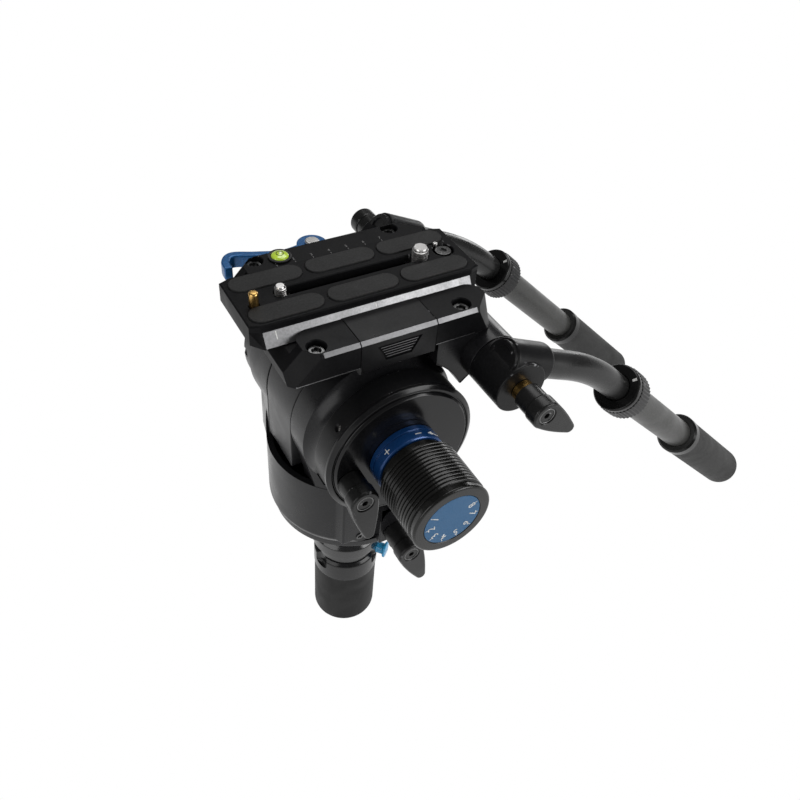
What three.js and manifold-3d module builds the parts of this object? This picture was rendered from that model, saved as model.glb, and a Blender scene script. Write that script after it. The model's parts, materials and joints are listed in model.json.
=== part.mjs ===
import * as THREE from "three";
import { mergeVertices } from "three/addons/utils/BufferGeometryUtils.js";
import { ConvexGeometry } from "three/addons/geometries/ConvexGeometry.js";
import Module from "manifold-3d";

// Fluid video head: half ball and tie-down, pan housing, tilting platform with a sliding plate, two handles.
// Millimetres. +Z is up along the pan axis, +X is the rear, +Y is the far side away from the drag knob.
// The origin is the centre of the half ball, on the underside of the base ring.

const wasm = await Module();
wasm.setup();

// Clearance between pieces that touch or turn on each other
const EASE = 0.3;
// How far a cutter runs past what it cuts
const OVERRUN = 2;
// Distance under which two corners are the same corner
const WELD = 0.0001;
const SIDES = { large: 32, medium: 20, small: 14, tiny: 8 };
// Steps in each round stretch of an outline
const ARC = 4;
const NEAR = -1;
const FAR = 1;

// Driving sizes of the part that stays on the tripod

const ball = { radius: 37.5, depth: 31, boreDepth: 26, rimHeight: 3, steps: 5 };
const baseRing = { radius: 52, footInset: 2, height: 7, bevel: 1.6, seatDepth: 1.5 };
const panShaft = { radius: 10, top: 46, flangeRadius: 16, flangeHeight: 3 };
const panBearing = { radius: 17.5, height: 10 };
const panCartridge = { radius: 27, height: 14 };

// Driving sizes of the tie-down, from the ball downwards

const tieDown = {
  gap: 7, studRadius: 5, threadReach: 40, travel: 6, cupRadius: 25.5, cupHeight: 12, cupBevel: 3,
  neckRadius: 21.5, neckHeight: 10, collarRadius: 24, collarHeight: 19, collarShoulder: 2.5,
  gripRadius: 23.5, gripHeight: 56,
  gripRounding: 5, gripSteps: 3, scallops: 3, scallopRadius: 9, scallopDepth: 3.2, scallopHeight: 11,
};
const tieButton = {
  radius: 6.1, capHeight: 3.2, stemRadius: 2.6, reach: 29.4, stemLength: 9, drop: 6.4, angle: -48, rim: 1.1,
};

// Driving sizes of the pan body and its tilt drag, outwards along the tilt axis

const tilt = { height: 100 };
const housing = {
  overhang: 2.5, wall: 4, floorTop: 24, rimTop: 60, rimDip: 2.2, footBevel: 4.7, footInset: 2, farRise: 25,
  flatFace: 50, flatHalfWidth: 29, flatLean: 3.5, flatFoot: 11, flatTop: 52,
  lockHalfWidth: 11, lockDepth: 7, lockRise: 21,
};
const arm = { inner: 17.9, width: 28, radius: 49.5, rootHalfWidth: 28, hollowRadius: 14, hollowDepth: 4.6 };
const tiltShaft = { radius: 10, endGap: 2 };
const tiltBearing = { radius: 16.5, width: 9, cover: 3 };
const dragHousing = {
  radius: 47.2, depth: 14, cavityRadius: 40, backWall: 3, setScrewRadius: 1.9, setScrewDepth: 5,
  setScrewAngle: 143, setScrewInset: 4.5,
};
const dragCartridge = { radius: 35, width: 8 };
const cover = {
  radius: 47.8, rimHeight: 1.9, shoulderRadius: 45.4, shoulderHeight: 3.3, grooveWidth: 0.9, grooveDepth: 0.8,
  faceRadius: 42.4, height: 4.7,
};
const dragCollar = { radius: 21.8, length: 10.6, grooveAt: 3.4, grooveWidth: 0.9, grooveDepth: 0.8,
  bevel: 0.8 };
const knob = {
  neckRadius: 20.6, neckLength: 6, radius: 24.3, grooves: 13, grooveDepth: 0.9, pitch: 2.45, endLength: 5,
  rounding: 1, inlayRadius: 17.5, inlayDepth: 1.4, stemRadius: 8, stemEndGap: 1.2,
};
const dial = {
  radius: 47.8, depth: 14.8, bevel: 2, notches: 16, notchRadius: 3.4, notchBite: 1.4, dishRadius: 36,
  dishDepth: 2, hubRadius: 15,
};

// Driving sizes of the tilting body

const tiltBlock = { armInset: 1.5, neckFront: 40, neckRear: 46, neckRise: 10, sideGap: 0.6 };
const arch = { overlap: 1.6, clearance: 2.5, front: 28, endAngle: 24, steps: 6 };
const crossArm = { clearance: 8.83, angle: 34.33, radius: 16.5, boreDepth: 11 };
const platform = {
  front: -62, rear: 63, halfWidth: 49, thickness: 16.8, channelDepth: 4.9, bevel: 1.9, cornerFoot: 3.5,
  frontCorner: 19.6, rearCorner: 12, noseHeight: 5.4, noseRun: 11, jawFillet: 9,
};
const clampNotch = { front: -21.6, rear: 25.3, legHeight: 11.3, skirtDepth: 8.3 };
const clampBlock = {
  skirtDrop: 5.3, edge: 1.5, ribs: 5, ribHeight: 0.9, ribWidth: 1.1, patchTopHalf: 14, patchBottomHalf: 8,
  patchHeight: 10.5, patchDrop: 5.5, patchDepth: 1.1, rodRadius: 3, rodDrop: 12.6, rodSeat: 3.6,
};
const jawScrew = {
  counterboreRadius: 5.2, counterboreDepth: 5.5, boltRadius: 4.4, boltHeight: 4, frontX: -43.2, rearX: 45,
  nearY: -40.6, farY: 43.2,
};
const level = {
  x: -28.2, y: 40.6, flangeRadius: 6.9, flangeHeight: 1, bodyRadius: 6.1, depth: 5, vialRadius: 5.1,
  domeRise: 1.7, domeSteps: 3, floor: 1,
};
const lockLever = {
  x: 0, y: 57.5, hubRadius: 9.5, drop: 16, thickness: 8.6, pinRadius: 3, capRadius: 6, capHeight: 1.7,
  capBevel: 0.5,
  armWidth: 5, steps: 12, edge: 0.8, route: [[4, 0.5], [20, -1.6], [35.5, 3], [48.5, 7.8], [54.4, 3],
  [55.4, -5]], tabRadius: 11, tabThickness: 5, tabInner: 40, pinSeat: 4.3,
};

// Driving sizes of the camera plate and what slides and turns in it

const plate = {
  length: 139.5, centre: -2, lift: 0.6, dovetailHeight: 7.7, slabThickness: 4, topHalfWidth: 23.25,
  bottomHalfWidth: 28.2, cornerLength: 5.6, cornerWidth: 2.1, edge: 0.7, recessHalfWidth: 9.6, recessEnd: 4.6,
  webThickness: 5, slotHalfWidth: 3.5, slotFront: -48.9, slotRear: 39,
};
const pad = { length: 42, width: 13.2, pitch: 45, rowY: 14.3, proud: 0.9, sunk: 0.7, columns: 3,
  firstX: -47.7 };
const frontScrew = { x: -45.2, radius: 3.175, rise: 6.4, headRadius: 6.6, headHeight: 3.2, slotWidth: 1.4,
  tip: 0.7 };
const washer = { radius: 8, height: 1.2 };
const rearScrew = { x: 41.3, radius: 4.7625, rise: 8.6, headRadius: 8, headHeight: 4, slotWidth: 1.6,
  tip: 0.9 };
const locatingPin = { x: -62.2, y: -5, radius: 2.6, rise: 8.4, tip: 0.7, collarRadius: 3.4,
  collarHeight: 1.7, stub: 0.6 };
const stopScrew = { x: 57, headRadius: 4.8, headHeight: 2.2, counterboreRadius: 6.2, hexRadius: 2.4,
  hexDepth: 1.2, shankRadius: 2.5, shankLength: 5 };

// Driving sizes of the handles, in a frame on the axis of the cross arm

const handle = {
  y: 71, slope: 25, bend: 18.3, axisRise: 10.2, bendAt: 68.4, bendLead: 24, tubeRadius: 9, tubeSeat: 12,
  tubeEnd: 150, tubeSteps: 14, farPushedIn: 6.2,
};
const socket = {
  drumInner: 14, drumOuter: 13.2, barrelFront: 11, barrelRadius: 12, barrelLength: 32, shoulder: 4,
  shoulderSteps: 2, noseRadius: 10.8, noseLength: 2.6, noseDiscRadius: 8.4, noseDiscDepth: 0.9, edge: 1,
};
const stud = { radius: 6.2, flangeRadius: 7.4, flangeLength: 4.6, leverSeat: 9 };
const endCap = { front: 40, radius: 16.2, length: 4.2, lip: 1, wall: 2 };
const twistRing = { length: 13.2, radius: 16.8, flutes: 26, fluteDepth: 0.8 };
const gripTube = { radius: 10.6, bore: 9.3, visible: 101.2, seated: 104 };
const grip = { radius: 14.8, lipRadius: 15.2, lipLength: 8, length: 118, rounding: 7, roundingSteps: 2,
  lipBevel: 1.5 };

// Driving sizes of the four wing levers and where each one sits

const wing = {
  hubRadius: 9, stemRadius: 8.2, tipRadius: 4.2, thickness: 9.5, edge: 0.9, scoop: 3.4,
  capRadius: 5.6, capDepth: 0.8, hexRadius: 2, hexDepth: 1.6, bulge: 0.6,
};
const handleLever = { angle: 42, hubLength: 10, reach: 27 };
const tiltLever = { x: -34, drop: 7, angle: 82, reach: 30.5, hubLength: 9.5, spindleRadius: 3.5,
  spindleLength: 6 };
const panLever = { x: 5, z: 16.5, angle: 71, reach: 30.5, hubLength: 13.2, spindleRadius: 4,
  spindleLength: 33 };

const finishes = {
  blackAnodised: { color: 0x17171a, roughness: 0.42, metalness: 0.85 },
  glossBlack: { color: 0x0d0d0f, roughness: 0.2, metalness: 0.9 },
  charcoal: { color: 0x2a2a2c, roughness: 0.5, metalness: 0.7 },
  blueAnodised: { color: 0x1b4f8c, roughness: 0.3, metalness: 0.9 },
  paleBlue: { color: 0x4678aa, roughness: 0.5, metalness: 0.3 },
  steel: { color: 0xb9bbbd, roughness: 0.28, metalness: 1 },
  brass: { color: 0xb98a3e, roughness: 0.3, metalness: 1 },
  rubber: { color: 0x1b1b1c, roughness: 0.85, metalness: 0 },
  greyTube: { color: 0x48484a, roughness: 0.45, metalness: 0.8 },
  limeLiquid: { color: 0xb6d433, roughness: 0.12, metalness: 0 },
};

// Places that follow from the driving sizes

const degrees = (angle) => THREE.MathUtils.degToRad(angle);
const cupTop = -ball.depth - tieDown.gap;
const cupBottom = cupTop - tieDown.cupHeight;
const neckBottom = cupBottom - tieDown.neckHeight;
const collarTop = neckBottom - EASE;
const collarBottom = collarTop - tieDown.collarHeight;
const gripTop = collarBottom - EASE;
const gripBottom = gripTop - tieDown.gripHeight;
const studEnd = gripTop - tieDown.threadReach;

const ballTop = baseRing.seatDepth - EASE;
const housingFoot = baseRing.height + EASE;
const flangeTop = housingFoot + panShaft.flangeHeight;
const bearingTop = flangeTop + EASE + panBearing.height;
const housingRadius = baseRing.radius + housing.overhang;
const shroudInner = housingRadius - housing.wall;
const armOuter = arm.inner + arm.width;
const dragBack = armOuter + EASE;
const dragFront = dragBack + dragHousing.depth;
const coverBack = dragFront + EASE;
const coverFace = coverBack + cover.height;
const dragCollarBack = coverFace + EASE;
const knobBack = dragCollarBack + dragCollar.length + EASE;
const knobFace = knobBack + knob.neckLength + knob.grooves * knob.pitch + knob.endLength;
const lockFace = housing.flatFace + housing.lockDepth;

const blockHalfWidth = arm.inner - tiltBlock.sideGap;
const blockRadius = arm.radius - tiltBlock.armInset;
const blockTop = tilt.height + arm.radius + tiltBlock.neckRise;
const archHalfWidth = armOuter + arch.overlap;
const archRadius = Math.max(arm.radius, dragHousing.radius, cover.radius) + arch.clearance;
const crossArmReach = arm.radius + crossArm.clearance + crossArm.radius;
const crossArmX = crossArmReach * Math.cos(degrees(crossArm.angle));
const crossArmZ = tilt.height + crossArmReach * Math.sin(degrees(crossArm.angle));
const platformBottom = blockTop + EASE;
const platformTop = platformBottom + platform.thickness;
const channelFloor = platformTop - platform.channelDepth;
const plateBottom = channelFloor + plate.lift;
const slabBottom = plateBottom + plate.dovetailHeight;
const slabTop = slabBottom + plate.slabThickness;
const webBottom = slabTop - plate.webThickness;
const dovetailSlope = (plate.bottomHalfWidth - plate.topHalfWidth) / plate.dovetailHeight;
const leverTop = platformTop - lockLever.drop + lockLever.thickness;
const drumInnerFace = handle.y - socket.drumInner;
const drumOuterFace = handle.y + socket.drumOuter;
const crossArmEnd = drumInnerFace - EASE;
const handleLeverRoot = drumOuterFace + EASE + stud.flangeLength + EASE;
const endCapBack = endCap.front + endCap.length;
const twistBack = endCapBack + EASE + twistRing.length;
const gripFront = twistBack + gripTube.visible;

const plateHalfWidthAt = (z) => plate.topHalfWidth + (slabBottom - z) * dovetailSlope;

// Solids as manifolds, so that they can be joined and cut

function signedVolume(points, faces) {
  const corner = (i) => new THREE.Vector3().fromArray(points, faces[i] * 3);
  let volume = 0;
  for (let i = 0; i < faces.length; i += 3) {
    volume += corner(i).dot(corner(i + 1).cross(corner(i + 2)));
  }
  return volume;
}

function solid(geometry) {
  const bare = new THREE.BufferGeometry();
  bare.setAttribute("position", geometry.getAttribute("position"));
  bare.setIndex(geometry.index);
  const welded = mergeVertices(bare, WELD);
  const index = welded.index.array;
  const faces = [];
  for (let i = 0; i < index.length; i += 3) {
    const [a, b, c] = [index[i], index[i + 1], index[i + 2]];
    if (a !== b && b !== c && c !== a) faces.push(a, b, c);
  }
  const points = new Float32Array(welded.getAttribute("position").array);
  if (signedVolume(points, faces) < 0) faces.reverse();
  return new wasm.Manifold(new wasm.Mesh({ numProp: 3, vertProperties: points,
    triVerts: new Uint32Array(faces) }));
}

function geometryOf(manifold) {
  const mesh = manifold.getMesh();
  const geometry = new THREE.BufferGeometry();
  geometry.setAttribute("position", new THREE.BufferAttribute(new Float32Array(mesh.vertProperties), 3));
  geometry.setIndex(new THREE.BufferAttribute(new Uint32Array(mesh.triVerts), 1));
  const faceted = geometry.toNonIndexed();
  faceted.computeVertexNormals();
  return faceted;
}

const cut = (body, ...cutters) => cutters.reduce((left, cutter) => left.subtract(cutter), body);
const join = (body, ...others) => others.reduce((sum, other) => sum.add(other), body);

function piece(name, body, finish) {
  const mesh = new THREE.Mesh(geometryOf(body), new THREE.MeshStandardMaterial(finishes[finish]));
  mesh.name = name;
  return mesh;
}

// A box between two limits on each axis
function block(x, y, z) {
  const geometry = new THREE.BoxGeometry(x[1] - x[0], y[1] - y[0], z[1] - z[0]);
  geometry.translate((x[0] + x[1]) / 2, (y[0] + y[1]) / 2, (z[0] + z[1]) / 2);
  return solid(geometry);
}

function lathe(profile, sides) {
  return new THREE.LatheGeometry(profile.map(([radius, height]) => new THREE.Vector2(radius, height)), sides);
}

// A profile of [radius, height] points turned about an upright axis
function turned(profile, sides = SIDES.medium, x = 0, y = 0) {
  return solid(lathe(profile, sides).rotateX(Math.PI / 2).translate(x, y, 0));
}

// A profile turned about an axis along Y, its heights running outward on the given side
function turnedAcross(profile, side, x, z, sides = SIDES.medium) {
  const outward = profile.map(([radius, height]) => [radius, side * height]);
  return solid(lathe(outward, sides).translate(x, 0, z));
}

// A profile turned about an axis along X
function turnedAlong(profile, z = 0, sides = SIDES.medium) {
  return solid(lathe(profile, sides).rotateZ(-Math.PI / 2).translate(0, 0, z));
}

const discProfile = (radius, from, to) => [[0, from], [radius, from], [radius, to], [0, to]];
const ringProfile = (inner, outer, from, to) => [[inner, from], [outer, from], [outer, to], [inner, to],
  [inner, from]];
const post = (radius, from, to, x = 0, y = 0, sides = SIDES.small) =>
  turned(discProfile(radius, from, to), sides, x, y);
const crossBar = (radius, from, to, x, z, sides = SIDES.small) =>
  turnedAcross(discProfile(radius, from, to), 1, x, z, sides);

const outline = (points) => new THREE.Shape(points.map(([a, b]) => new THREE.Vector2(a, b)));

function extruded(shape, depth, edge = 0, curveSegments = ARC) {
  const geometry = new THREE.ExtrudeGeometry(shape, {
    depth: depth - 2 * edge, curveSegments, bevelEnabled: edge > 0, bevelThickness: edge, bevelSize: edge,
    bevelOffset: -edge, bevelSegments: 1,
  });
  return geometry.translate(0, 0, edge);
}

// A plan outline raised between two heights
const raised = (shape, from, to, edge = 0) => solid(extruded(shape, to - from, edge).translate(0, 0, from));

// A side outline in X and Z drawn out between two places on Y
function drawnAcross(shape, from, to, edge = 0) {
  return solid(extruded(shape, to - from, edge).rotateX(Math.PI / 2).translate(0, to, 0));
}

// A section in Y and Z drawn out between two places on X
function drawnAlong(shape, from, to) {
  return solid(extruded(shape, to - from).rotateX(Math.PI / 2).rotateZ(Math.PI / 2).translate(from, 0, 0));
}

// The outline of a bar of even width along a smooth route in plan
function stroked(route, halfWidth, steps) {
  const curve = new THREE.SplineCurve(route.map(([x, y]) => new THREE.Vector2(x, y)));
  const [left, right] = [[], []];
  for (let i = 0; i <= steps; i += 1) {
    const centre = curve.getPointAt(i / steps);
    const along = curve.getTangentAt(i / steps);
    left.push([centre.x - along.y * halfWidth, centre.y + along.x * halfWidth]);
    right.unshift([centre.x + along.y * halfWidth, centre.y - along.x * halfWidth]);
  }
  return outline([...left, ...right]);
}

const hull = (points) => solid(new ConvexGeometry(points.map(([x, y, z]) => new THREE.Vector3(x, y, z))));

function stadium(length, width, x, y) {
  const radius = width / 2;
  const reach = length / 2 - radius;
  const shape = new THREE.Shape();
  shape.absarc(x + reach, y, radius, -Math.PI / 2, Math.PI / 2, false);
  shape.absarc(x - reach, y, radius, Math.PI / 2, 1.5 * Math.PI, false);
  shape.closePath();
  return shape;
}

function hexagon(radius, x, y) {
  const turns = [0, 1, 2, 3, 4, 5].map((turn) => turn * Math.PI / 3);
  return outline(turns.map((angle) => [x + radius * Math.cos(angle), y + radius * Math.sin(angle)]));
}

// Quarter-round shoulder points from a cylinder of one radius to its end face
function shoulderPoints(radius, end, rounding, steps, outward) {
  const points = [];
  for (let i = 0; i <= steps; i += 1) {
    const angle = i * Math.PI / 2 / steps;
    points.push([
      radius - rounding * (1 - Math.cos(angle)),
      end - outward * rounding * (1 - Math.sin(angle)),
    ]);
  }
  return points;
}

// Base that stays on the tripod

function halfBall() {
  const profile = [[0, ballTop], [ball.radius, ballTop]];
  const first = Math.asin(ball.rimHeight / ball.radius);
  const last = Math.asin(ball.depth / ball.radius);
  for (let i = 0; i <= ball.steps; i += 1) {
    const angle = first + (last - first) * i / ball.steps;
    profile.push([ball.radius * Math.cos(angle), -ball.radius * Math.sin(angle)]);
  }
  profile.push([0, -ball.depth]);
  const bore = post(tieDown.studRadius + EASE, -ball.depth - OVERRUN, ball.boreDepth - ball.depth);
  return piece("half_ball", cut(turned(profile, SIDES.large), bore), "blackAnodised");
}

function baseRingPiece() {
  const bore = panShaft.radius + EASE;
  const footRadius = baseRing.radius - baseRing.footInset;
  const seatRadius = ball.radius + EASE;
  const profile = [
    [bore, baseRing.seatDepth], [seatRadius, baseRing.seatDepth], [seatRadius, 0], [footRadius, 0],
    [footRadius + baseRing.bevel, baseRing.bevel], [baseRing.radius, baseRing.height],
    [bore, baseRing.height], [bore, baseRing.seatDepth], ];
  return piece("base_ring", turned(profile, SIDES.large), "charcoal");
}

function panShaftPiece() {
  const profile = [
    [0, baseRing.seatDepth], [panShaft.radius, baseRing.seatDepth], [panShaft.radius, housingFoot],
    [panShaft.flangeRadius, housingFoot],
    [panShaft.flangeRadius, flangeTop], [panShaft.radius, flangeTop], [panShaft.radius, panShaft.top],
    [0, panShaft.top],
  ];
  return piece("pan_shaft", turned(profile, SIDES.small), "steel");
}

function tieDownStud() {
  return piece("tie_down_stud", post(tieDown.studRadius, studEnd, ball.boreDepth - ball.depth - EASE),
    "steel");
}

// Tie-down that draws the ball into the bowl

function tieDownCup() {
  const bore = tieDown.studRadius + EASE;
  const profile = [
    [bore, cupTop], [tieDown.cupRadius - tieDown.cupBevel, cupTop],
    [tieDown.cupRadius, cupTop - tieDown.cupBevel], [tieDown.cupRadius, cupBottom],
    [tieDown.neckRadius, cupBottom], [tieDown.neckRadius, neckBottom], [bore, neckBottom], [bore, cupTop],
  ];
  return piece("tie_down_cup", cut(turned(profile), buttonSpace()), "glossBlack");
}

// A profile turned about the line on which the button travels, its heights counted from the pan axis
function turnedAtButton(profile, sides) {
  const turnedOut = lathe(profile, sides).rotateZ(degrees(tieButton.angle) - Math.PI / 2);
  return solid(turnedOut.translate(0, 0, cupBottom - tieButton.drop));
}

function buttonSpace() {
  const from = tieButton.reach - tieButton.capHeight - tieButton.stemLength - EASE;
  return turnedAtButton(discProfile(tieButton.stemRadius + EASE, from - tieButton.capHeight,
    tieDown.cupRadius), SIDES.tiny);
}

function tieDownButton() {
  const capFoot = tieButton.reach - tieButton.capHeight;
  const stemFoot = capFoot - tieButton.stemLength;
  const profile = [
    [0, stemFoot], [tieButton.stemRadius, stemFoot], [tieButton.stemRadius, capFoot],
    [tieButton.radius, capFoot + tieButton.rim], [tieButton.radius, tieButton.reach - tieButton.rim],
    [tieButton.radius - tieButton.rim, tieButton.reach], [0, tieButton.reach],
  ];
  return piece("tie_down_button", turnedAtButton(profile, SIDES.tiny), "blueAnodised");
}

function tieDownCollar() {
  const bore = tieDown.studRadius + EASE;
  const profile = [
    [bore, collarTop], [tieDown.collarRadius - tieDown.collarShoulder, collarTop],
    [tieDown.collarRadius, collarTop - tieDown.collarShoulder], [tieDown.collarRadius, collarBottom],
    [bore, collarBottom], [bore, collarTop],
  ];
  const reach = tieDown.collarRadius + tieDown.scallopRadius - tieDown.scallopDepth;
  let body = turned(profile);
  for (let i = 0; i < tieDown.scallops; i += 1) {
    const angle = degrees(tieButton.angle) + i * 2 * Math.PI / tieDown.scallops;
    body = cut(body, post(tieDown.scallopRadius, collarTop - tieDown.scallopHeight, collarTop + OVERRUN,
      reach * Math.cos(angle), reach * Math.sin(angle)));
  }
  return piece("tie_down_collar", body, "charcoal");
}

function tieDownGrip() {
  const bore = tieDown.studRadius + EASE;
  const floor = studEnd - tieDown.travel - EASE;
  const profile = [
    [bore, gripTop], [tieDown.gripRadius, gripTop],
    ...shoulderPoints(tieDown.gripRadius, gripBottom, tieDown.gripRounding, tieDown.gripSteps, -1),
    [0, gripBottom], [0, floor], [bore, floor], [bore, gripTop],
  ];
  return piece("tie_down_grip", turned(profile), "rubber");
}

// Pan housing: shroud, flat near face, lock boss and the two fixed arms

function shroud() {
  const profile = [
    [0, housingFoot], [housingRadius - housing.footInset, housingFoot],
    [housingRadius, housingFoot + housing.footBevel], [housingRadius, housing.rimTop + housing.farRise],
    [0, housing.rimTop + housing.farRise],
  ];
  const inside = post(shroudInner, housing.floorTop, housing.rimTop + housing.farRise + OVERRUN, 0, 0,
    SIDES.large);
  return cut(turned(profile, SIDES.large), inside, rimSpace());
}

// The open space over the rim, which dips in front and rises to a point beside the far arm
function rimSpace() {
  const reach = housingRadius + OVERRUN;
  const top = housing.rimTop + housing.farRise + OVERRUN;
  const low = housing.rimTop - housing.rimDip;
  const rim = new THREE.Shape();
  rim.moveTo(-reach, top);
  rim.lineTo(-reach, housing.rimTop + housing.rimDip);
  rim.quadraticCurveTo(-arm.inner, low, 0, low);
  rim.lineTo(arm.inner, low);
  rim.lineTo(arm.inner + housing.wall + arm.width / 2, top);
  rim.closePath();
  const behind = block([0, reach], [-reach, reach], [low, top]);
  return join(drawnAlong(rim, -reach, reach), behind);
}

function armPiece(side) {
  const round = turnedAcross(discProfile(arm.radius, arm.inner, armOuter), side, 0, tilt.height, SIDES.large);
  const limits = side === NEAR ? [-armOuter, -arm.inner] : [arm.inner, armOuter];
  const root = block([-arm.rootHalfWidth, arm.rootHalfWidth], limits, [housing.floorTop - EASE, tilt.height]);
  const pocketFloor = armOuter - tiltBearing.cover - tiltBearing.width - EASE;
  const pocket = turnedAcross(discProfile(tiltBearing.radius + EASE, pocketFloor, armOuter + OVERRUN), side,
    0, tilt.height, SIDES.small);
  return cut(join(round, root), pocket, armHollow(side));
}

// The waisted hollow that runs round the arm beside the ring it carries
function armHollow(side) {
  const reach = arm.radius + arm.hollowRadius - arm.hollowDepth;
  const ring = new THREE.TorusGeometry(reach, arm.hollowRadius, SIDES.small, SIDES.large);
  const behindWall = block([-reach * 2, reach * 2], [-reach, reach], [0, tilt.height - arm.rootHalfWidth]);
  return cut(solid(ring.rotateX(Math.PI / 2).translate(0, side * armOuter, tilt.height)), behindWall);
}

function flatBoss() {
  const lean = housing.flatHalfWidth + housing.flatLean;
  const back = -armOuter + housing.wall;
  const plan = outline([
    [-lean, back], [-housing.flatHalfWidth, -housing.flatFace],
    [housing.flatHalfWidth, -housing.flatFace], [lean, back],
  ]);
  return raised(plan, housing.flatFoot, housing.flatTop);
}

function lockBoss() {
  const half = housing.lockHalfWidth;
  const side = new THREE.Shape();
  side.moveTo(panLever.x - half, housingFoot);
  side.lineTo(panLever.x + half, housingFoot);
  side.absarc(panLever.x, housingFoot + housing.lockRise, half, 0, Math.PI, false);
  side.closePath();
  return drawnAcross(side, -lockFace, -housing.flatFace + housing.wall);
}

function panHousing() {
  const reach = housingRadius + OVERRUN;
  const nearSide = block([-reach, reach], [-reach, -housing.flatFace],
    [housingFoot - OVERRUN, housing.rimTop]);
  const shaftHole = post(panShaft.radius + EASE, housingFoot - OVERRUN, housing.floorTop + OVERRUN);
  const pocket = post(panBearing.radius + EASE, housingFoot - OVERRUN, bearingTop + EASE);
  const tiltHole = crossBar(tiltShaft.radius + EASE, -armOuter - OVERRUN, armOuter + OVERRUN, 0, tilt.height);
  const spindleHole = crossBar(panLever.spindleRadius + EASE, -lockFace - OVERRUN,
    -lockFace + panLever.spindleLength + EASE, panLever.x, panLever.z);
  const ringSpaces = [NEAR, FAR].map((side) => turnedAcross(
    discProfile(cover.radius + EASE, armOuter, housingRadius + OVERRUN), side, 0, tilt.height, SIDES.large));
  const shell = cut(join(shroud(), flatBoss()), nearSide, ...ringSpaces);
  const body = join(shell, armPiece(NEAR), armPiece(FAR), lockBoss());
  return piece("pan_housing", cut(body, shaftHole, pocket, tiltHole, spindleHole), "blackAnodised");
}

function panBearingPiece() {
  const profile = ringProfile(panShaft.radius + EASE, panBearing.radius, flangeTop + EASE, bearingTop);
  return piece("pan_bearing", turned(profile, SIDES.small), "steel");
}

function panCartridgePiece() {
  const foot = housing.floorTop + EASE;
  const profile = ringProfile(panShaft.radius + EASE, panCartridge.radius, foot, foot + panCartridge.height);
  const arms = blockHalfWidth + tiltBlock.sideGap - EASE;
  const reach = panCartridge.radius + OVERRUN;
  const between = block([-reach, reach], [-arms, arms],
    [foot - OVERRUN, foot + panCartridge.height + OVERRUN]);
  return piece("pan_cartridge", turned(profile).intersect(between), "charcoal");
}

// Pieces along the tilt axis

function tiltBearingPiece(name, side) {
  const end = armOuter - tiltBearing.cover;
  const profile = ringProfile(tiltShaft.radius + EASE, tiltBearing.radius, end - tiltBearing.width, end);
  return piece(name, turnedAcross(profile, side, 0, tilt.height, SIDES.small), "steel");
}

function dragHousingPiece() {
  const cavity = discProfile(dragHousing.cavityRadius, dragBack + dragHousing.backWall, dragFront + OVERRUN);
  const shell = turnedAcross(ringProfile(tiltShaft.radius + EASE, dragHousing.radius, dragBack, dragFront),
    NEAR, 0, tilt.height, SIDES.large);
  const screwHole = lathe(discProfile(dragHousing.setScrewRadius,
    dragHousing.radius - dragHousing.setScrewDepth, dragHousing.radius + OVERRUN), SIDES.tiny);
  screwHole.rotateZ(-Math.PI / 2).rotateY(-degrees(dragHousing.setScrewAngle));
  screwHole.translate(0, -dragFront + dragHousing.setScrewInset, tilt.height);
  const body = cut(shell, turnedAcross(cavity, NEAR, 0, tilt.height), solid(screwHole));
  return piece("drag_housing", body, "blackAnodised");
}

function dragCartridgePiece() {
  const foot = dragBack + dragHousing.backWall + EASE;
  const profile = ringProfile(tiltShaft.radius + EASE, dragCartridge.radius, foot,
    foot + dragCartridge.width);
  return piece("drag_cartridge", turnedAcross(profile, NEAR, 0, tilt.height), "charcoal");
}

function tiltCover() {
  const bore = knob.stemRadius + EASE;
  const rim = coverBack + cover.rimHeight;
  const shoulder = coverBack + cover.shoulderHeight;
  const grooveFloor = shoulder - cover.grooveDepth;
  const grooveInner = cover.shoulderRadius - 2 * cover.grooveWidth;
  const grooveOuter = cover.shoulderRadius - cover.grooveWidth;
  const profile = [
    [bore, coverBack], [cover.radius, coverBack], [cover.radius, rim], [cover.shoulderRadius, shoulder],
    [grooveOuter, shoulder], [grooveOuter, grooveFloor], [grooveInner, grooveFloor], [grooveInner, shoulder],
    [cover.faceRadius, coverFace], [bore, coverFace], [bore, coverBack],
  ];
  const spindleHole = crossBar(tiltLever.spindleRadius + EASE, -coverFace - OVERRUN, -coverBack + OVERRUN,
    tiltLever.x, tilt.height - tiltLever.drop);
  return piece("tilt_cover", cut(turnedAcross(profile, NEAR, 0, tilt.height, SIDES.large), spindleHole),
    "glossBlack");
}

function dragCollarPiece() {
  const bore = knob.stemRadius + EASE;
  const end = dragCollarBack + dragCollar.length;
  const groove = dragCollarBack + dragCollar.grooveAt;
  const grooveRadius = dragCollar.radius - dragCollar.grooveDepth;
  const profile = [
    [bore, dragCollarBack], [dragCollar.radius, dragCollarBack], [dragCollar.radius, groove],
    [grooveRadius, groove],
    [grooveRadius, groove + dragCollar.grooveWidth], [dragCollar.radius, groove + dragCollar.grooveWidth],
    [dragCollar.radius, end - dragCollar.bevel], [dragCollar.radius - dragCollar.bevel, end], [bore, end],
    [bore, dragCollarBack],
  ];
  return piece("drag_collar", turnedAcross(profile, NEAR, 0, tilt.height), "blueAnodised");
}

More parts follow.
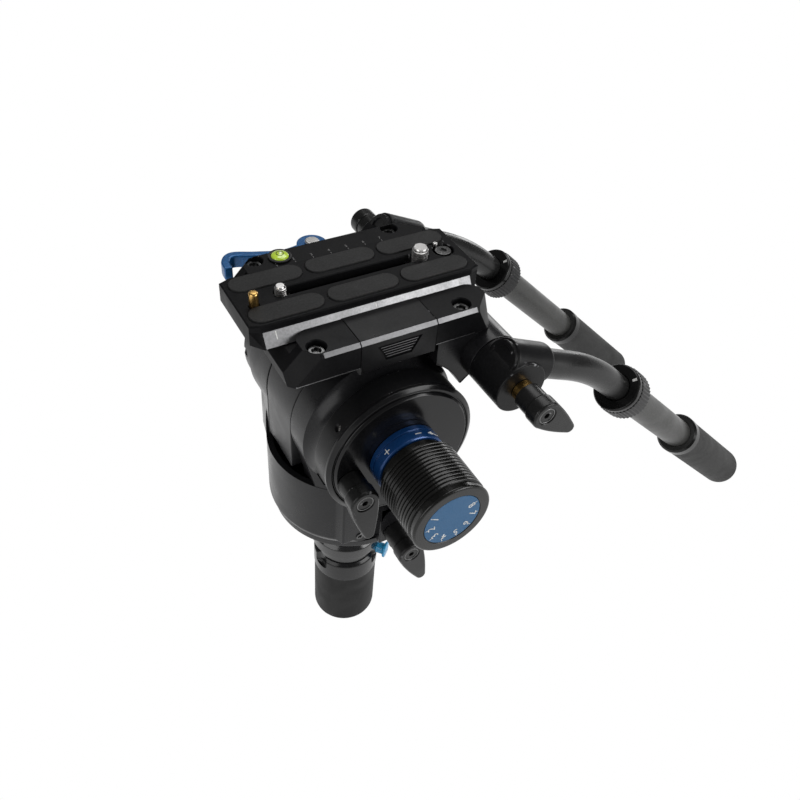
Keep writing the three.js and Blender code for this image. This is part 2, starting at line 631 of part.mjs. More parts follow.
function tiltDragKnob() {
  const stemFoot = dragFront - tiltShaft.endGap + EASE + knob.stemEndGap;
  const grooveStart = knobBack + knob.neckLength;
  const valley = knob.radius - knob.grooveDepth;
  const profile = [
    [0, stemFoot], [knob.stemRadius, stemFoot], [knob.stemRadius, knobBack], [knob.neckRadius, knobBack],
    [knob.neckRadius, grooveStart], [knob.radius, grooveStart],
  ];
  for (let i = 0; i < knob.grooves; i += 1) {
    const start = grooveStart + i * knob.pitch;
    profile.push([valley, start + knob.pitch / 2], [knob.radius, start + knob.pitch]);
  }
  profile.push(
    [knob.radius, knobFace - knob.rounding], [knob.radius - knob.rounding, knobFace],
    [knob.inlayRadius + EASE, knobFace], [knob.inlayRadius + EASE, knobFace - knob.inlayDepth],
    [0, knobFace - knob.inlayDepth],
  );
  return piece("tilt_drag_knob", turnedAcross(profile, NEAR, 0, tilt.height), "glossBlack");
}

function knobInlay() {
  const profile = discProfile(knob.inlayRadius, knobFace - knob.inlayDepth + EASE, knobFace);
  return piece("knob_inlay", turnedAcross(profile, NEAR, 0, tilt.height), "paleBlue");
}

function counterbalanceDial() {
  const face = dragBack + dial.depth;
  const dish = face - dial.dishDepth;
  const shaftSeat = dragFront - tiltShaft.endGap + EASE;
  const bore = tiltShaft.radius + EASE;
  const profile = [
    [bore, dragBack], [dial.radius, dragBack], [dial.radius, face - dial.bevel],
    [dial.radius - dial.bevel, face], [dial.dishRadius + dial.dishDepth, face], [dial.dishRadius, dish],
    [dial.hubRadius + dial.dishDepth, dish],
    [dial.hubRadius, face], [0, face], [0, shaftSeat], [bore, shaftSeat], [bore, dragBack],
  ];
  let body = turnedAcross(profile, FAR, 0, tilt.height, SIDES.large);
  const reach = dial.radius + dial.notchRadius - dial.notchBite;
  for (let i = 0; i < dial.notches; i += 1) {
    const angle = i * 2 * Math.PI / dial.notches;
    body = cut(body, crossBar(dial.notchRadius, dragBack + dial.depth / 2, face + OVERRUN,
      reach * Math.cos(angle), tilt.height + reach * Math.sin(angle), SIDES.tiny));
  }
  return piece("counterbalance_dial", body, "blackAnodised");
}

// Tilting body

function archOutline() {
  const first = Math.acos(arch.front / archRadius);
  const last = degrees(arch.endAngle);
  const points = [[crossArmX, blockTop], [arch.front, blockTop]];
  for (let i = 0; i <= arch.steps; i += 1) {
    const angle = first + (last - first) * i / arch.steps;
    points.push([archRadius * Math.cos(angle), tilt.height + archRadius * Math.sin(angle)]);
  }
  points.push([crossArmX, crossArmZ - crossArm.radius / 2]);
  return outline(points.reverse());
}

function tiltBlockPiece() {
  const round = crossBar(blockRadius, -blockHalfWidth, blockHalfWidth, 0, tilt.height, SIDES.large);
  const neck = block([-tiltBlock.neckFront, tiltBlock.neckRear], [-blockHalfWidth, blockHalfWidth],
    [tilt.height, blockTop]);
  const web = drawnAcross(archOutline(), -archHalfWidth, archHalfWidth);
  const arm = crossBar(crossArm.radius, -crossArmEnd, crossArmEnd, crossArmX, crossArmZ, SIDES.medium);
  const shaftHole = crossBar(tiltShaft.radius + EASE, -armOuter, armOuter, 0, tilt.height);
  const studHoles = [NEAR, FAR].map((side) => turnedAcross(
    discProfile(stud.radius + EASE, crossArmEnd - crossArm.boreDepth, crossArmEnd + OVERRUN), side, crossArmX,
    crossArmZ, SIDES.small));
  return piece("tilt_block", cut(join(round, neck, web, arm), shaftHole, ...studHoles), "blackAnodised");
}

function tiltShaftPiece() {
  const end = dragFront - tiltShaft.endGap;
  return piece("tilt_shaft", crossBar(tiltShaft.radius, -end, end, 0, tilt.height), "steel");
}

// The leg of the leaning corner chamfer at a height, between its foot and its top
function cornerLeg(topLeg, z) {
  return platform.cornerFoot + (topLeg - platform.cornerFoot) * (z - platformBottom) / platform.thickness;
}

function platformBlank() {
  const { front, rear, halfWidth, bevel } = platform;
  const nose = platformBottom + platform.noseHeight;
  const bevelFoot = platformTop - bevel;
  const noseTop = front + platform.noseRun;
  const points = [];
  for (const side of [NEAR, FAR]) {
    for (const z of [platformBottom, bevelFoot]) {
      points.push([front + cornerLeg(platform.frontCorner, z), side * halfWidth, z]);
      points.push([rear - cornerLeg(platform.rearCorner, z), side * halfWidth, z]);
    }
    points.push([front + platform.frontCorner - bevel, side * (halfWidth - bevel), platformTop]);
    points.push([rear - platform.rearCorner + bevel, side * (halfWidth - bevel), platformTop]);
    points.push([front, side * (halfWidth - platform.cornerFoot), platformBottom]);
    points.push([front, side * (halfWidth - cornerLeg(platform.frontCorner, nose)), nose]);
    points.push([noseTop, side * (halfWidth - platform.frontCorner + platform.noseRun), platformTop]);
    points.push([rear, side * (halfWidth - platform.cornerFoot), platformBottom]);
    points.push([rear, side * (halfWidth - platform.rearCorner), platformTop]);
  }
  return hull(points);
}

// The dovetailed channel in which the camera plate slides, with its rounded mouth corners
function channelSpace() {
  const high = platformTop + OVERRUN;
  const [topEdge, footEdge] = [plateHalfWidthAt(high) + EASE, plateHalfWidthAt(plateBottom) + EASE];
  const section = outline([
    [-footEdge, channelFloor], [footEdge, channelFloor], [footEdge, plateBottom], [topEdge, high],
    [-topEdge, high], [-footEdge, plateBottom], ]);
  const channel = drawnAlong(section, platform.front - OVERRUN, platform.rear + OVERRUN);
  const r = platform.jawFillet;
  const edge = plateHalfWidthAt(platformTop) + EASE;
  const corners = [];
  for (const side of [NEAR, FAR]) {
    for (const [end, inward] of [[platform.front + platform.noseRun, 1], [platform.rear, -1]]) {
      const x = [end - inward * 2 * r, end + inward * r].sort((a, b) => a - b);
      const y = [side * (edge - r), side * (edge + r)].sort((a, b) => a - b);
      const round = post(r, channelFloor - OVERRUN, high + OVERRUN, end + inward * r, side * (edge + r));
      const kept = block([end - r * 3, end + r * 3],
        [side * (edge + r), side * (edge + r * 3)].sort((a, b) => a - b),
        [channelFloor - OVERRUN, high + OVERRUN]);
      corners.push(cut(block(x, y, [channelFloor, high]), round, kept));
    }
  }
  return join(channel, ...corners);
}

function clampSpace() {
  const x = [clampNotch.front, clampNotch.rear];
  const outside = -platform.halfWidth - OVERRUN;
  const legWall = -(plateHalfWidthAt(plateBottom) + EASE);
  const leg = block(x, [outside, legWall], [platformTop - clampNotch.legHeight, platformTop + OVERRUN]);
  const lip = block(x, [legWall - OVERRUN, -plate.topHalfWidth], [channelFloor, platformTop + OVERRUN]);
  const skirt = block(x, [outside, clampNotch.skirtDepth - platform.halfWidth],
    [platformBottom - OVERRUN, platformTop]);
  const rodZ = platformTop - clampBlock.rodDrop;
  const rod = crossBar(clampBlock.rodRadius + EASE, -platform.halfWidth, platform.halfWidth, lockLever.x,
    rodZ, SIDES.tiny);
  return join(leg, lip, skirt, rod);
}

function leverTab() {
  const top = platformTop - lockLever.drop - EASE;
  const bottom = top - lockLever.tabThickness;
  const round = post(lockLever.tabRadius, bottom, top, lockLever.x, lockLever.y);
  const root = block([lockLever.x - lockLever.tabRadius, lockLever.x + lockLever.tabRadius],
    [lockLever.tabInner, lockLever.y], [bottom, top]);
  return join(round, root);
}

function platformPiece() {
  const leverFoot = platformTop - lockLever.drop - EASE;
  const leverSpace = post(lockLever.hubRadius + EASE, leverFoot, leverTop + EASE, lockLever.x, lockLever.y);
  const pinHole = post(lockLever.pinRadius + EASE, leverFoot - lockLever.pinSeat, leverFoot + OVERRUN,
    lockLever.x, lockLever.y, SIDES.tiny);
  const screwHoles = [];
  for (const x of [jawScrew.frontX, jawScrew.rearX]) {
    for (const y of [jawScrew.nearY, jawScrew.farY]) {
      const floor = platformTop - jawScrew.counterboreDepth;
      screwHoles.push(cut(
        post(jawScrew.counterboreRadius, floor, platformTop + OVERRUN, x, y),
        post(jawScrew.boltRadius, floor - OVERRUN, floor + jawScrew.boltHeight, x, y, SIDES.tiny),
      ));
    }
  }
  const levelHole = post(level.bodyRadius + EASE, platformTop - level.depth - EASE, platformTop + OVERRUN,
    level.x, level.y);
  const body = cut(join(cut(platformBlank(), channelSpace(), clampSpace()), leverTab()), leverSpace, pinHole,
    levelHole, ...screwHoles);
  return piece("platform", body, "blackAnodised");
}

function levelHousing() {
  const foot = platformTop - level.depth;
  const flange = platformTop + EASE;
  const floor = foot + level.floor;
  const bore = level.vialRadius + EASE;
  const top = flange + level.flangeHeight;
  const profile = [
    [0, foot], [level.bodyRadius, foot], [level.bodyRadius, flange], [level.flangeRadius, flange],
    [level.flangeRadius, top], [bore, top], [bore, floor], [0, floor],
  ];
  return piece("level_housing", turned(profile, SIDES.small, level.x, level.y), "charcoal");
}

function levelVial() {
  const foot = platformTop - level.depth + level.floor + EASE;
  const top = platformTop + EASE + level.flangeHeight;
  const profile = [[0, foot], [level.vialRadius, foot]];
  for (let i = 0; i <= level.domeSteps; i += 1) {
    const share = 1 - i / level.domeSteps;
    profile.push([level.vialRadius * share, top + level.domeRise * (1 - share * share)]);
  }
  return piece("level_vial", turned(profile, SIDES.small, level.x, level.y), "limeLiquid");
}

// Side clamp and its lock lever

function clampBlockPiece() {
  const x = [clampNotch.front + EASE, clampNotch.rear - EASE];
  const outer = platform.halfWidth;
  const foot = platformBottom - clampBlock.skirtDrop;
  const legFoot = platformTop - clampNotch.legHeight + EASE;
  const inner = plateHalfWidthAt(plateBottom) + 2 * EASE;
  const section = outline([
    [-plateHalfWidthAt(platformTop) - EASE, platformTop], [platform.bevel - outer, platformTop],
    [-outer, platformTop - platform.bevel], [-outer, foot + clampBlock.edge], [clampBlock.edge - outer, foot],
    [clampNotch.skirtDepth - outer - EASE, foot], [clampNotch.skirtDepth - outer - EASE, legFoot],
    [-inner, legFoot], [-inner, plateBottom],
  ]);
  const rodHole = crossBar(clampBlock.rodRadius + EASE,
    clampNotch.skirtDepth - outer - EASE - clampBlock.rodSeat,
    0, lockLever.x, platformTop - clampBlock.rodDrop, SIDES.tiny);
  const body = join(cut(drawnAlong(section, x[0], x[1]), patchSpace(), rodHole), ...gripRibs());
  return piece("clamp_block", body, "blackAnodised");
}

// The trapezoid on the block's near face, as wide as its share of the way down
function patchHalfWidth(drop) {
  const share = drop / clampBlock.patchHeight;
  return clampBlock.patchTopHalf + (clampBlock.patchBottomHalf - clampBlock.patchTopHalf) * share;
}

const patchCentre = (clampNotch.front + clampNotch.rear) / 2;
const patchTop = platformTop - clampBlock.patchDrop;

function patchSpace() {
  const bottom = patchTop - clampBlock.patchHeight;
  const [wide, narrow] = [clampBlock.patchTopHalf, clampBlock.patchBottomHalf];
  const side = outline([
    [patchCentre - narrow, bottom], [patchCentre + narrow, bottom],
    [patchCentre + wide, patchTop], [patchCentre - wide, patchTop],
  ]);
  return drawnAcross(side, -platform.halfWidth - OVERRUN, clampBlock.patchDepth - platform.halfWidth);
}

function gripRibs() {
  const ribs = [];
  const pitch = clampBlock.patchHeight / (clampBlock.ribs + 1);
  for (let i = 1; i <= clampBlock.ribs; i += 1) {
    const z = patchTop - i * pitch;
    const half = patchHalfWidth(i * pitch) - clampBlock.ribWidth;
    const back = clampBlock.patchDepth + clampBlock.ribWidth - platform.halfWidth;
    const front = clampBlock.patchDepth - clampBlock.ribHeight - platform.halfWidth;
    ribs.push(block([patchCentre - half, patchCentre + half], [front, back],
      [z - clampBlock.ribWidth / 2, z + clampBlock.ribWidth / 2]));
  }
  return ribs;
}

function clampRod() {
  const from = clampNotch.skirtDepth - platform.halfWidth - clampBlock.rodSeat;
  const to = lockLever.y - lockLever.hubRadius - EASE;
  const rod = crossBar(clampBlock.rodRadius, from, to, lockLever.x, platformTop - clampBlock.rodDrop,
    SIDES.tiny);
  return piece("clamp_rod", rod, "steel");
}

function lockLeverPiece() {
  const foot = platformTop - lockLever.drop;
  const route = lockLever.route.map(([ahead, outward]) => [lockLever.x - ahead, lockLever.y + outward]);
  const arm = stroked(route, lockLever.armWidth / 2, lockLever.steps);
  const hub = turned([
    [0, foot], [lockLever.hubRadius, foot], [lockLever.hubRadius, leverTop - lockLever.edge],
    [lockLever.hubRadius - lockLever.edge, leverTop], [0, leverTop],
  ], SIDES.small, lockLever.x, lockLever.y);
  const bore = post(lockLever.pinRadius + EASE, foot - OVERRUN, leverTop + OVERRUN, lockLever.x, lockLever.y,
    SIDES.tiny);
  const body = cut(join(hub, raised(arm, foot, leverTop, lockLever.edge)), bore);
  return piece("lock_lever", body, "blueAnodised");
}

function lockLeverPivot() {
  const foot = platformTop - lockLever.drop - lockLever.pinSeat;
  const capFoot = leverTop + EASE;
  const top = capFoot + lockLever.capHeight;
  const profile = [
    [0, foot], [lockLever.pinRadius, foot], [lockLever.pinRadius, capFoot], [lockLever.capRadius, capFoot],
    [lockLever.capRadius, top - lockLever.capBevel], [lockLever.capRadius - lockLever.capBevel, top],
    [0, top],
  ];
  return piece("lock_lever_pivot", turned(profile, SIDES.small, lockLever.x, lockLever.y), "steel");
}

// Camera plate with its pads, screws and locating pin

const padX = (column) => pad.firstX + column * pad.pitch;

function plateBlank() {
  const half = plate.length / 2;
  const ends = (inset) => [plate.centre - half + inset, plate.centre + half - inset];
  const corners = (z, inset) => {
    const wide = plate.topHalfWidth - inset;
    return ends(inset).flatMap((x, end) => {
      const inward = end === 0 ? 1 : -1;
      return [[x, wide - plate.cornerWidth, z], [x, plate.cornerWidth - wide, z],
        [x + inward * plate.cornerLength, wide, z], [x + inward * plate.cornerLength, -wide, z]];
    });
  };
  const slab = hull([...corners(slabBottom, 0), ...corners(slabTop - plate.edge, 0),
    ...corners(slabTop, plate.edge)]);
  const foot = ends(plate.cornerLength).flatMap((x) => [NEAR, FAR].flatMap((side) => [
    [x, side * plate.bottomHalfWidth, plateBottom], [x, side * plate.topHalfWidth, slabBottom + EASE],
  ]));
  const nose = ends(0).flatMap((x) => [NEAR, FAR].flatMap((side) => [
    [x, side * (plate.topHalfWidth - plate.cornerWidth), plateBottom],
    [x, side * (plate.topHalfWidth - plate.cornerWidth), slabBottom + EASE],
  ]));
  return join(slab, hull([...foot, ...nose]));
}

function cameraPlate() {
  const half = plate.length / 2;
  const recess = block([plate.centre - half + plate.recessEnd, plate.centre + half - plate.recessEnd],
    [-plate.recessHalfWidth, plate.recessHalfWidth], [plateBottom - OVERRUN, webBottom]);
  const slot = raised(stadium(plate.slotRear - plate.slotFront, 2 * plate.slotHalfWidth,
    (plate.slotRear + plate.slotFront) / 2, 0), webBottom - OVERRUN, slabTop + OVERRUN);
  const pockets = padPlaces().map(([x, y]) => raised(
    stadium(pad.length + 2 * EASE, pad.width + 2 * EASE, x, y), slabTop - pad.sunk - EASE,
      slabTop + OVERRUN));
  const hole = (radius, x, y) => post(radius + EASE, webBottom - OVERRUN, slabTop + OVERRUN, x, y);
  const counterbore = post(stopScrew.counterboreRadius, slabTop - stopScrew.headHeight - EASE,
    slabTop + OVERRUN, stopScrew.x, 0);
  const body = cut(plateBlank(), recess, slot, ...pockets, counterbore,
    hole(rearScrew.radius, rearScrew.x, 0),
    hole(stopScrew.shankRadius, stopScrew.x, 0), hole(locatingPin.radius, locatingPin.x, locatingPin.y));
  return piece("camera_plate", body, "blackAnodised");
}

function padPlaces() {
  const places = [];
  for (let column = 0; column < pad.columns; column += 1) {
    for (const side of [NEAR, FAR]) places.push([padX(column), side * pad.rowY, column, side]);
  }
  return places;
}

function padPieces() {
  return padPlaces().map(([x, y, column, side]) => {
    const body = raised(stadium(pad.length, pad.width, x, y), slabTop - pad.sunk, slabTop + pad.proud);
    return piece(`pad_${side === NEAR ? "near" : "far"}_${column + 1}`, body, "rubber");
  });
}

function stopScrewPiece() {
  const top = slabTop - EASE;
  const headFoot = slabTop - stopScrew.headHeight;
  const profile = [
    [0, webBottom - stopScrew.shankLength], [stopScrew.shankRadius, webBottom - stopScrew.shankLength],
    [stopScrew.shankRadius, headFoot], [stopScrew.headRadius, headFoot], [stopScrew.headRadius, top],
    [0, top],
  ];
  const socketHole = raised(hexagon(stopScrew.hexRadius, stopScrew.x, 0), top - stopScrew.hexDepth,
    top + OVERRUN);
  return piece("plate_stop_screw", cut(turned(profile, SIDES.small, stopScrew.x), socketHole), "steel");
}

// A camera screw: head with a coin slot below, threaded end above
function cameraScrew(name, size, headTop) {
  const headFoot = headTop - size.headHeight;
  const top = slabTop + size.rise;
  const profile = [
    [0, headFoot], [size.headRadius, headFoot], [size.headRadius, headTop], [size.radius, headTop],
    [size.radius, top - size.tip], [size.radius - size.tip, top], [0, top],
  ];
  const slot = block([size.x - size.headRadius - OVERRUN, size.x + size.headRadius + OVERRUN],
    [-size.slotWidth / 2, size.slotWidth / 2], [headFoot - OVERRUN, headFoot + size.slotWidth]);
  return piece(name, cut(turned(profile, SIDES.small, size.x), slot), "steel");
}

const washerTop = webBottom - EASE;

function screwWasher() {
  const profile = ringProfile(frontScrew.radius + EASE, washer.radius, washerTop - washer.height, washerTop);
  return piece("screw_washer", turned(profile, SIDES.small, frontScrew.x), "steel");
}

function locatingPinPiece() {
  const collarTop = webBottom - EASE;
  const collarFoot = collarTop - locatingPin.collarHeight;
  const foot = collarFoot - locatingPin.stub;
  const top = slabTop + locatingPin.rise;
  const profile = [
    [0, foot], [locatingPin.radius, foot], [locatingPin.radius, collarFoot],
    [locatingPin.collarRadius, collarFoot],
    [locatingPin.collarRadius, collarTop], [locatingPin.radius, collarTop],
    [locatingPin.radius, top - locatingPin.tip], [locatingPin.radius - locatingPin.tip, top], [0, top],
  ];
  return piece("locating_pin", turned(profile, SIDES.tiny, locatingPin.x, locatingPin.y), "brass");
}

// Wing levers, built outward from the face they stand on, in their own frame

function wingOutline(reach) {
  const spread = Math.acos((wing.hubRadius - wing.tipRadius) / reach);
  const shape = new THREE.Shape();
  const waist = (wing.hubRadius + wing.tipRadius) / 2 - wing.scoop;
  shape.absarc(0, 0, wing.hubRadius, spread, 2 * Math.PI - spread, false);
  shape.quadraticCurveTo(reach / 2, -waist, reach + wing.tipRadius * Math.cos(spread),
    -wing.tipRadius * Math.sin(spread));
  shape.absarc(reach, 0, wing.tipRadius, -spread, spread, false);
  shape.quadraticCurveTo(reach / 2, (wing.hubRadius + wing.tipRadius) / 2 + wing.bulge,
    wing.hubRadius * Math.cos(spread), wing.hubRadius * Math.sin(spread));
  return shape;
}

function wingLever(name, side, spec, tail) {
  const { hubLength } = spec;
  const outerFace = hubLength + wing.thickness;
  const blade = extruded(wingOutline(spec.reach), wing.thickness, wing.edge);
  blade.rotateZ(-degrees(spec.angle)).rotateX(Math.PI / 2);
  blade.translate(0, side === NEAR ? -hubLength : outerFace, 0);
  const stem = turnedAcross(discProfile(wing.stemRadius, 0, hubLength + wing.thickness / 2), side, 0, 0,
    SIDES.small);
  const capSpace = turnedAcross(discProfile(wing.capRadius, outerFace - wing.capDepth, outerFace + OVERRUN),
    side, 0, 0, SIDES.small);
  const socketEnds = [side * (outerFace - wing.capDepth - wing.hexDepth), side * (outerFace + OVERRUN)];
  const [from, to] = socketEnds.sort((a, b) => a - b);
  const hexSpace = drawnAcross(hexagon(wing.hexRadius, 0, 0), from, to);
  const body = cut(join(stem, solid(blade)), capSpace, hexSpace);
  return piece(name, tail(body), "glossBlack");
}

// A lever whose spindle runs inward from its foot
function spindleLever(name, spec, root, z) {
  const tail = (body) => join(body, turnedAcross(discProfile(spec.spindleRadius, -spec.spindleLength, EASE),
    NEAR, 0, 0, SIDES.tiny));
  const lever = wingLever(name, NEAR, spec, tail);
  lever.position.set(spec.x, -root, z);
  return lever;
}

function handleLeverPiece(name, side) {
  const bore = discProfile(stud.radius + EASE, -OVERRUN, stud.leverSeat + EASE);
  const tail = (body) => cut(body, turnedAcross(bore, side, 0, 0, SIDES.small));
  const lever = wingLever(name, side, handleLever, tail);
  lever.position.set(crossArmX, side * handleLeverRoot, crossArmZ);
  return lever;
}

function studPiece(name, side) {
  const root = crossArmEnd - crossArm.boreDepth + EASE;
  const flange = drumOuterFace + EASE;
  const flangeEnd = flange + stud.flangeLength;
  const end = handleLeverRoot + stud.leverSeat;
  const profile = [
    [0, root], [stud.radius, root], [stud.radius, flange], [stud.flangeRadius, flange],
    [stud.flangeRadius, flangeEnd], [stud.radius, flangeEnd], [stud.radius, end], [0, end],
  ];
  return piece(name, turnedAcross(profile, side, crossArmX, crossArmZ, SIDES.small), "brass");
}

// Handles, in a frame whose X runs down the socket's barrel

function socketPiece(name, side) {
  const front = -socket.barrelFront;
  const back = front + socket.barrelLength;
  const noseFace = front - socket.noseLength;
  const barrel = turnedAlong([
    [0, noseFace + socket.noseDiscDepth], [socket.noseDiscRadius, noseFace + socket.noseDiscDepth],
    [socket.noseDiscRadius, noseFace], [socket.noseRadius, noseFace], [socket.noseRadius, front],
    [socket.barrelRadius - socket.edge, front], [socket.barrelRadius, front + socket.edge],
    ...shoulderPoints(socket.barrelRadius, back, socket.shoulder, socket.shoulderSteps, 1), [0, back],
  ], handle.axisRise);
  const drum = turnedAcross([
    [0, -socket.drumInner], [crossArm.radius, -socket.drumInner],
    [crossArm.radius, socket.drumOuter - socket.edge],
    [crossArm.radius - socket.edge, socket.drumOuter], [0, socket.drumOuter],
  ], side, 0, 0);
  const studHole = turnedAcross(discProfile(stud.radius + EASE, -socket.drumInner - OVERRUN,
    socket.drumOuter + OVERRUN), side, 0, 0, SIDES.small);
  const tubeHole = turnedAlong(discProfile(handle.tubeRadius + EASE, back - handle.tubeSeat, back + OVERRUN),
    handle.axisRise, SIDES.small);
  return piece(name, cut(join(barrel, drum), studHole, tubeHole), "blackAnodised");
}

function bentTube(name) {
  const start = socket.barrelLength - socket.barrelFront - handle.tubeSeat + EASE;
  const bend = degrees(handle.bend);
  const along = (distance) => new THREE.Vector3(handle.bendAt + distance * Math.cos(bend), 0,
    handle.axisRise - distance * Math.sin(bend));
  const level = (x) => new THREE.Vector3(x, 0, handle.axisRise);
  const path = new THREE.CurvePath();
  path.add(new THREE.LineCurve3(level(start), level(handle.bendAt - handle.bendLead)));
  path.add(new THREE.QuadraticBezierCurve3(level(handle.bendAt - handle.bendLead), level(handle.bendAt),
    along(handle.bendLead)));
  path.add(new THREE.LineCurve3(along(handle.bendLead), along(handle.tubeEnd)));
  const section = new THREE.Shape();
  section.absarc(0, 0, handle.tubeRadius, 0, 2 * Math.PI, false);
  const tube = new THREE.ExtrudeGeometry(section, {
    steps: handle.tubeSteps, extrudePath: path, curveSegments: SIDES.tiny,
  });
  return piece(name, solid(tube), "glossBlack");
}

function tubeEndCap(name) {
  const seat = endCap.front + endCap.wall;
  const profile = [
    [gripTube.bore, endCap.front], [endCap.radius - endCap.lip, endCap.front],
    [endCap.radius, endCap.front + endCap.lip], [endCap.radius, endCapBack],
    [gripTube.radius + EASE, endCapBack],
    [gripTube.radius + EASE, seat], [gripTube.bore, seat], [gripTube.bore, endCap.front],
  ];
  return piece(name, turnedAlong(profile), "glossBlack");
}

function fluteRadius(step) {
  return step % 2 === 0 ? twistRing.radius : twistRing.radius - twistRing.fluteDepth;
}

function twistRingPiece(name) {
  const points = [];
  for (let step = 0; step < 2 * twistRing.flutes; step += 1) {
    const angle = step * Math.PI / twistRing.flutes;
    points.push([fluteRadius(step) * Math.cos(angle), fluteRadius(step) * Math.sin(angle)]);
  }
  const fluted = drawnAlong(outline(points), endCapBack + EASE, twistBack);
  const bore = turnedAlong(discProfile(gripTube.radius + EASE, endCapBack - OVERRUN, twistBack + OVERRUN));
  return piece(name, cut(fluted, bore), "charcoal");
}

function gripTubePiece(name) {
  const start = endCap.front + endCap.wall + EASE;
  const profile = ringProfile(gripTube.bore, gripTube.radius, start, gripFront + gripTube.seated);
  return piece(name, turnedAlong(profile), "greyTube");
}

function gripPiece(name) {
  const bore = gripTube.radius + EASE;
  const end = gripFront + grip.length;
  const floor = gripFront + gripTube.seated + EASE;
  const profile = [
    [bore, gripFront], [grip.lipRadius - grip.lipBevel, gripFront],
    [grip.lipRadius, gripFront + grip.lipBevel],
    [grip.lipRadius, gripFront + grip.lipLength], [grip.radius, gripFront + grip.lipLength],
    ...shoulderPoints(grip.radius, end, grip.rounding, grip.roundingSteps, 1),
    [0, end], [0, floor], [bore, floor], [bore, gripFront],
  ];
  return piece(name, turnedAlong(profile), "rubber");
}

function handleGroup(side) {
  const name = side === NEAR ? "near" : "far";
  const telescope = new THREE.Group();
  telescope.position.set(handle.bendAt, 0, handle.axisRise);
  telescope.rotation.y = degrees(handle.bend);
  if (side === FAR) telescope.translateX(-handle.farPushedIn);
  telescope.add(tubeEndCap(`tube_end_cap_${name}`), twistRingPiece(`twist_ring_${name}`));
  telescope.add(gripTubePiece(`grip_tube_${name}`), gripPiece(`handle_grip_${name}`));
  const arm = new THREE.Group();
  arm.position.set(crossArmX, side * handle.y, crossArmZ);
  arm.rotation.y = degrees(handle.slope);
  arm.add(socketPiece(`handle_socket_${name}`, side), bentTube(`bent_tube_${name}`), telescope);
  const group = new THREE.Group();
  group.add(arm, studPiece(`handle_stud_${name}`, side), handleLeverPiece(`handle_lever_${name}`, side));
  return group;
}

function baseGroup() {
  const group = new THREE.Group();
  group.add(halfBall(), baseRingPiece(), panShaftPiece(), tieDownStud());
  group.add(tieDownCup(), tieDownButton(), tieDownCollar(), tieDownGrip());
  return group;
}

function panGroup() {
  const group = new THREE.Group();
  group.add(panHousing(), panBearingPiece(), panCartridgePiece());
  group.add(tiltBearingPiece("tilt_bearing_near", NEAR), tiltBearingPiece("tilt_bearing_far", FAR));
  group.add(dragHousingPiece(), dragCartridgePiece(), tiltCover(), dragCollarPiece());
  group.add(tiltDragKnob(), knobInlay(), counterbalanceDial());
  group.add(spindleLever("tilt_lock_lever", tiltLever, coverFace + EASE, tilt.height - tiltLever.drop));
  group.add(spindleLever("pan_lock_lever", panLever, lockFace + EASE, panLever.z));
  return group;
}

function tiltGroup() {
  const group = new THREE.Group();
  group.add(tiltBlockPiece(), tiltShaftPiece(), platformPiece(), levelHousing(), levelVial());
  group.add(clampBlockPiece(), clampRod(), lockLeverPiece(), lockLeverPivot());
  return group;
}

function plateGroup() {
  const group = new THREE.Group();
  group.add(cameraPlate(), ...padPieces(), stopScrewPiece(), screwWasher(), locatingPinPiece());
  group.add(cameraScrew("camera_screw_front", frontScrew, washerTop - washer.height - EASE));
  group.add(cameraScrew("camera_screw_rear", rearScrew, webBottom - EASE));
  return group;
}

const head = new THREE.Group();
head.add(baseGroup(), panGroup(), tiltGroup(), plateGroup(), handleGroup(NEAR), handleGroup(FAR));

export default head;
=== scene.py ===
"""Looks of the fluid video head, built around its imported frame.

Every sub-assembly is a class: its fields are sizes in millimetres, its methods build and dress the meshes.
+Z is up along the pan axis, +X the rear, +Y the far side away from the drag knob.
"""

import json
import logging
import math
from collections.abc import Callable, Iterable, Sequence
from dataclasses import dataclass, field
from enum import Enum

import bmesh
import bpy
from mathutils import Matrix, Vector

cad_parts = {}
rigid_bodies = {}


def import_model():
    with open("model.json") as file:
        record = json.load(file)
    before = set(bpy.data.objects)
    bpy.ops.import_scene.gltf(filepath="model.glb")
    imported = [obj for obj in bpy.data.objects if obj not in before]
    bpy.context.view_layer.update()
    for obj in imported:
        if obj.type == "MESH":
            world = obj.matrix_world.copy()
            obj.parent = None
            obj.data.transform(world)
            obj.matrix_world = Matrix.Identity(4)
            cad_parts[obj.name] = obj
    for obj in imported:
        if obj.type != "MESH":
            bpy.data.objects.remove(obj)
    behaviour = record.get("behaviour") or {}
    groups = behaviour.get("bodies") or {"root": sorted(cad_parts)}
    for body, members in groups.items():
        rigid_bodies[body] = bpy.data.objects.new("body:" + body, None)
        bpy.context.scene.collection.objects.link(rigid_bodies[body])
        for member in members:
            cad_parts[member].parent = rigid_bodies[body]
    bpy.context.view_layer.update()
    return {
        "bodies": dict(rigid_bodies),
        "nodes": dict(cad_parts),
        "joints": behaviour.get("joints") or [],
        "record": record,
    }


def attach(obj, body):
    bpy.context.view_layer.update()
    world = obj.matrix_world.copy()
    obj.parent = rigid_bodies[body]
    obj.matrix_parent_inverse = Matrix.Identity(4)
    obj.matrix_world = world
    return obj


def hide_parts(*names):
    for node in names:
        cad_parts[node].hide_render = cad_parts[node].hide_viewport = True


log = logging.getLogger("video_head")
Point = tuple[float, float]
Place = tuple[float, float, float]
Outline = tuple[Point, ...]
Object = bpy.types.Object
Node = bpy.types.Node
Socket = bpy.types.NodeSocket
Tree = bpy.types.NodeTree
HERE = Matrix.Identity(4)

# Metres in a millimetre, then the gap between pieces and how far cutters run past a face.
MM = 0.001
GAP = 0.3
OVERRUN = 3
FAR_AWAY = 99

# Sides of a turned shape.
FINE = 128
ROUND = 72
SMALL = 32

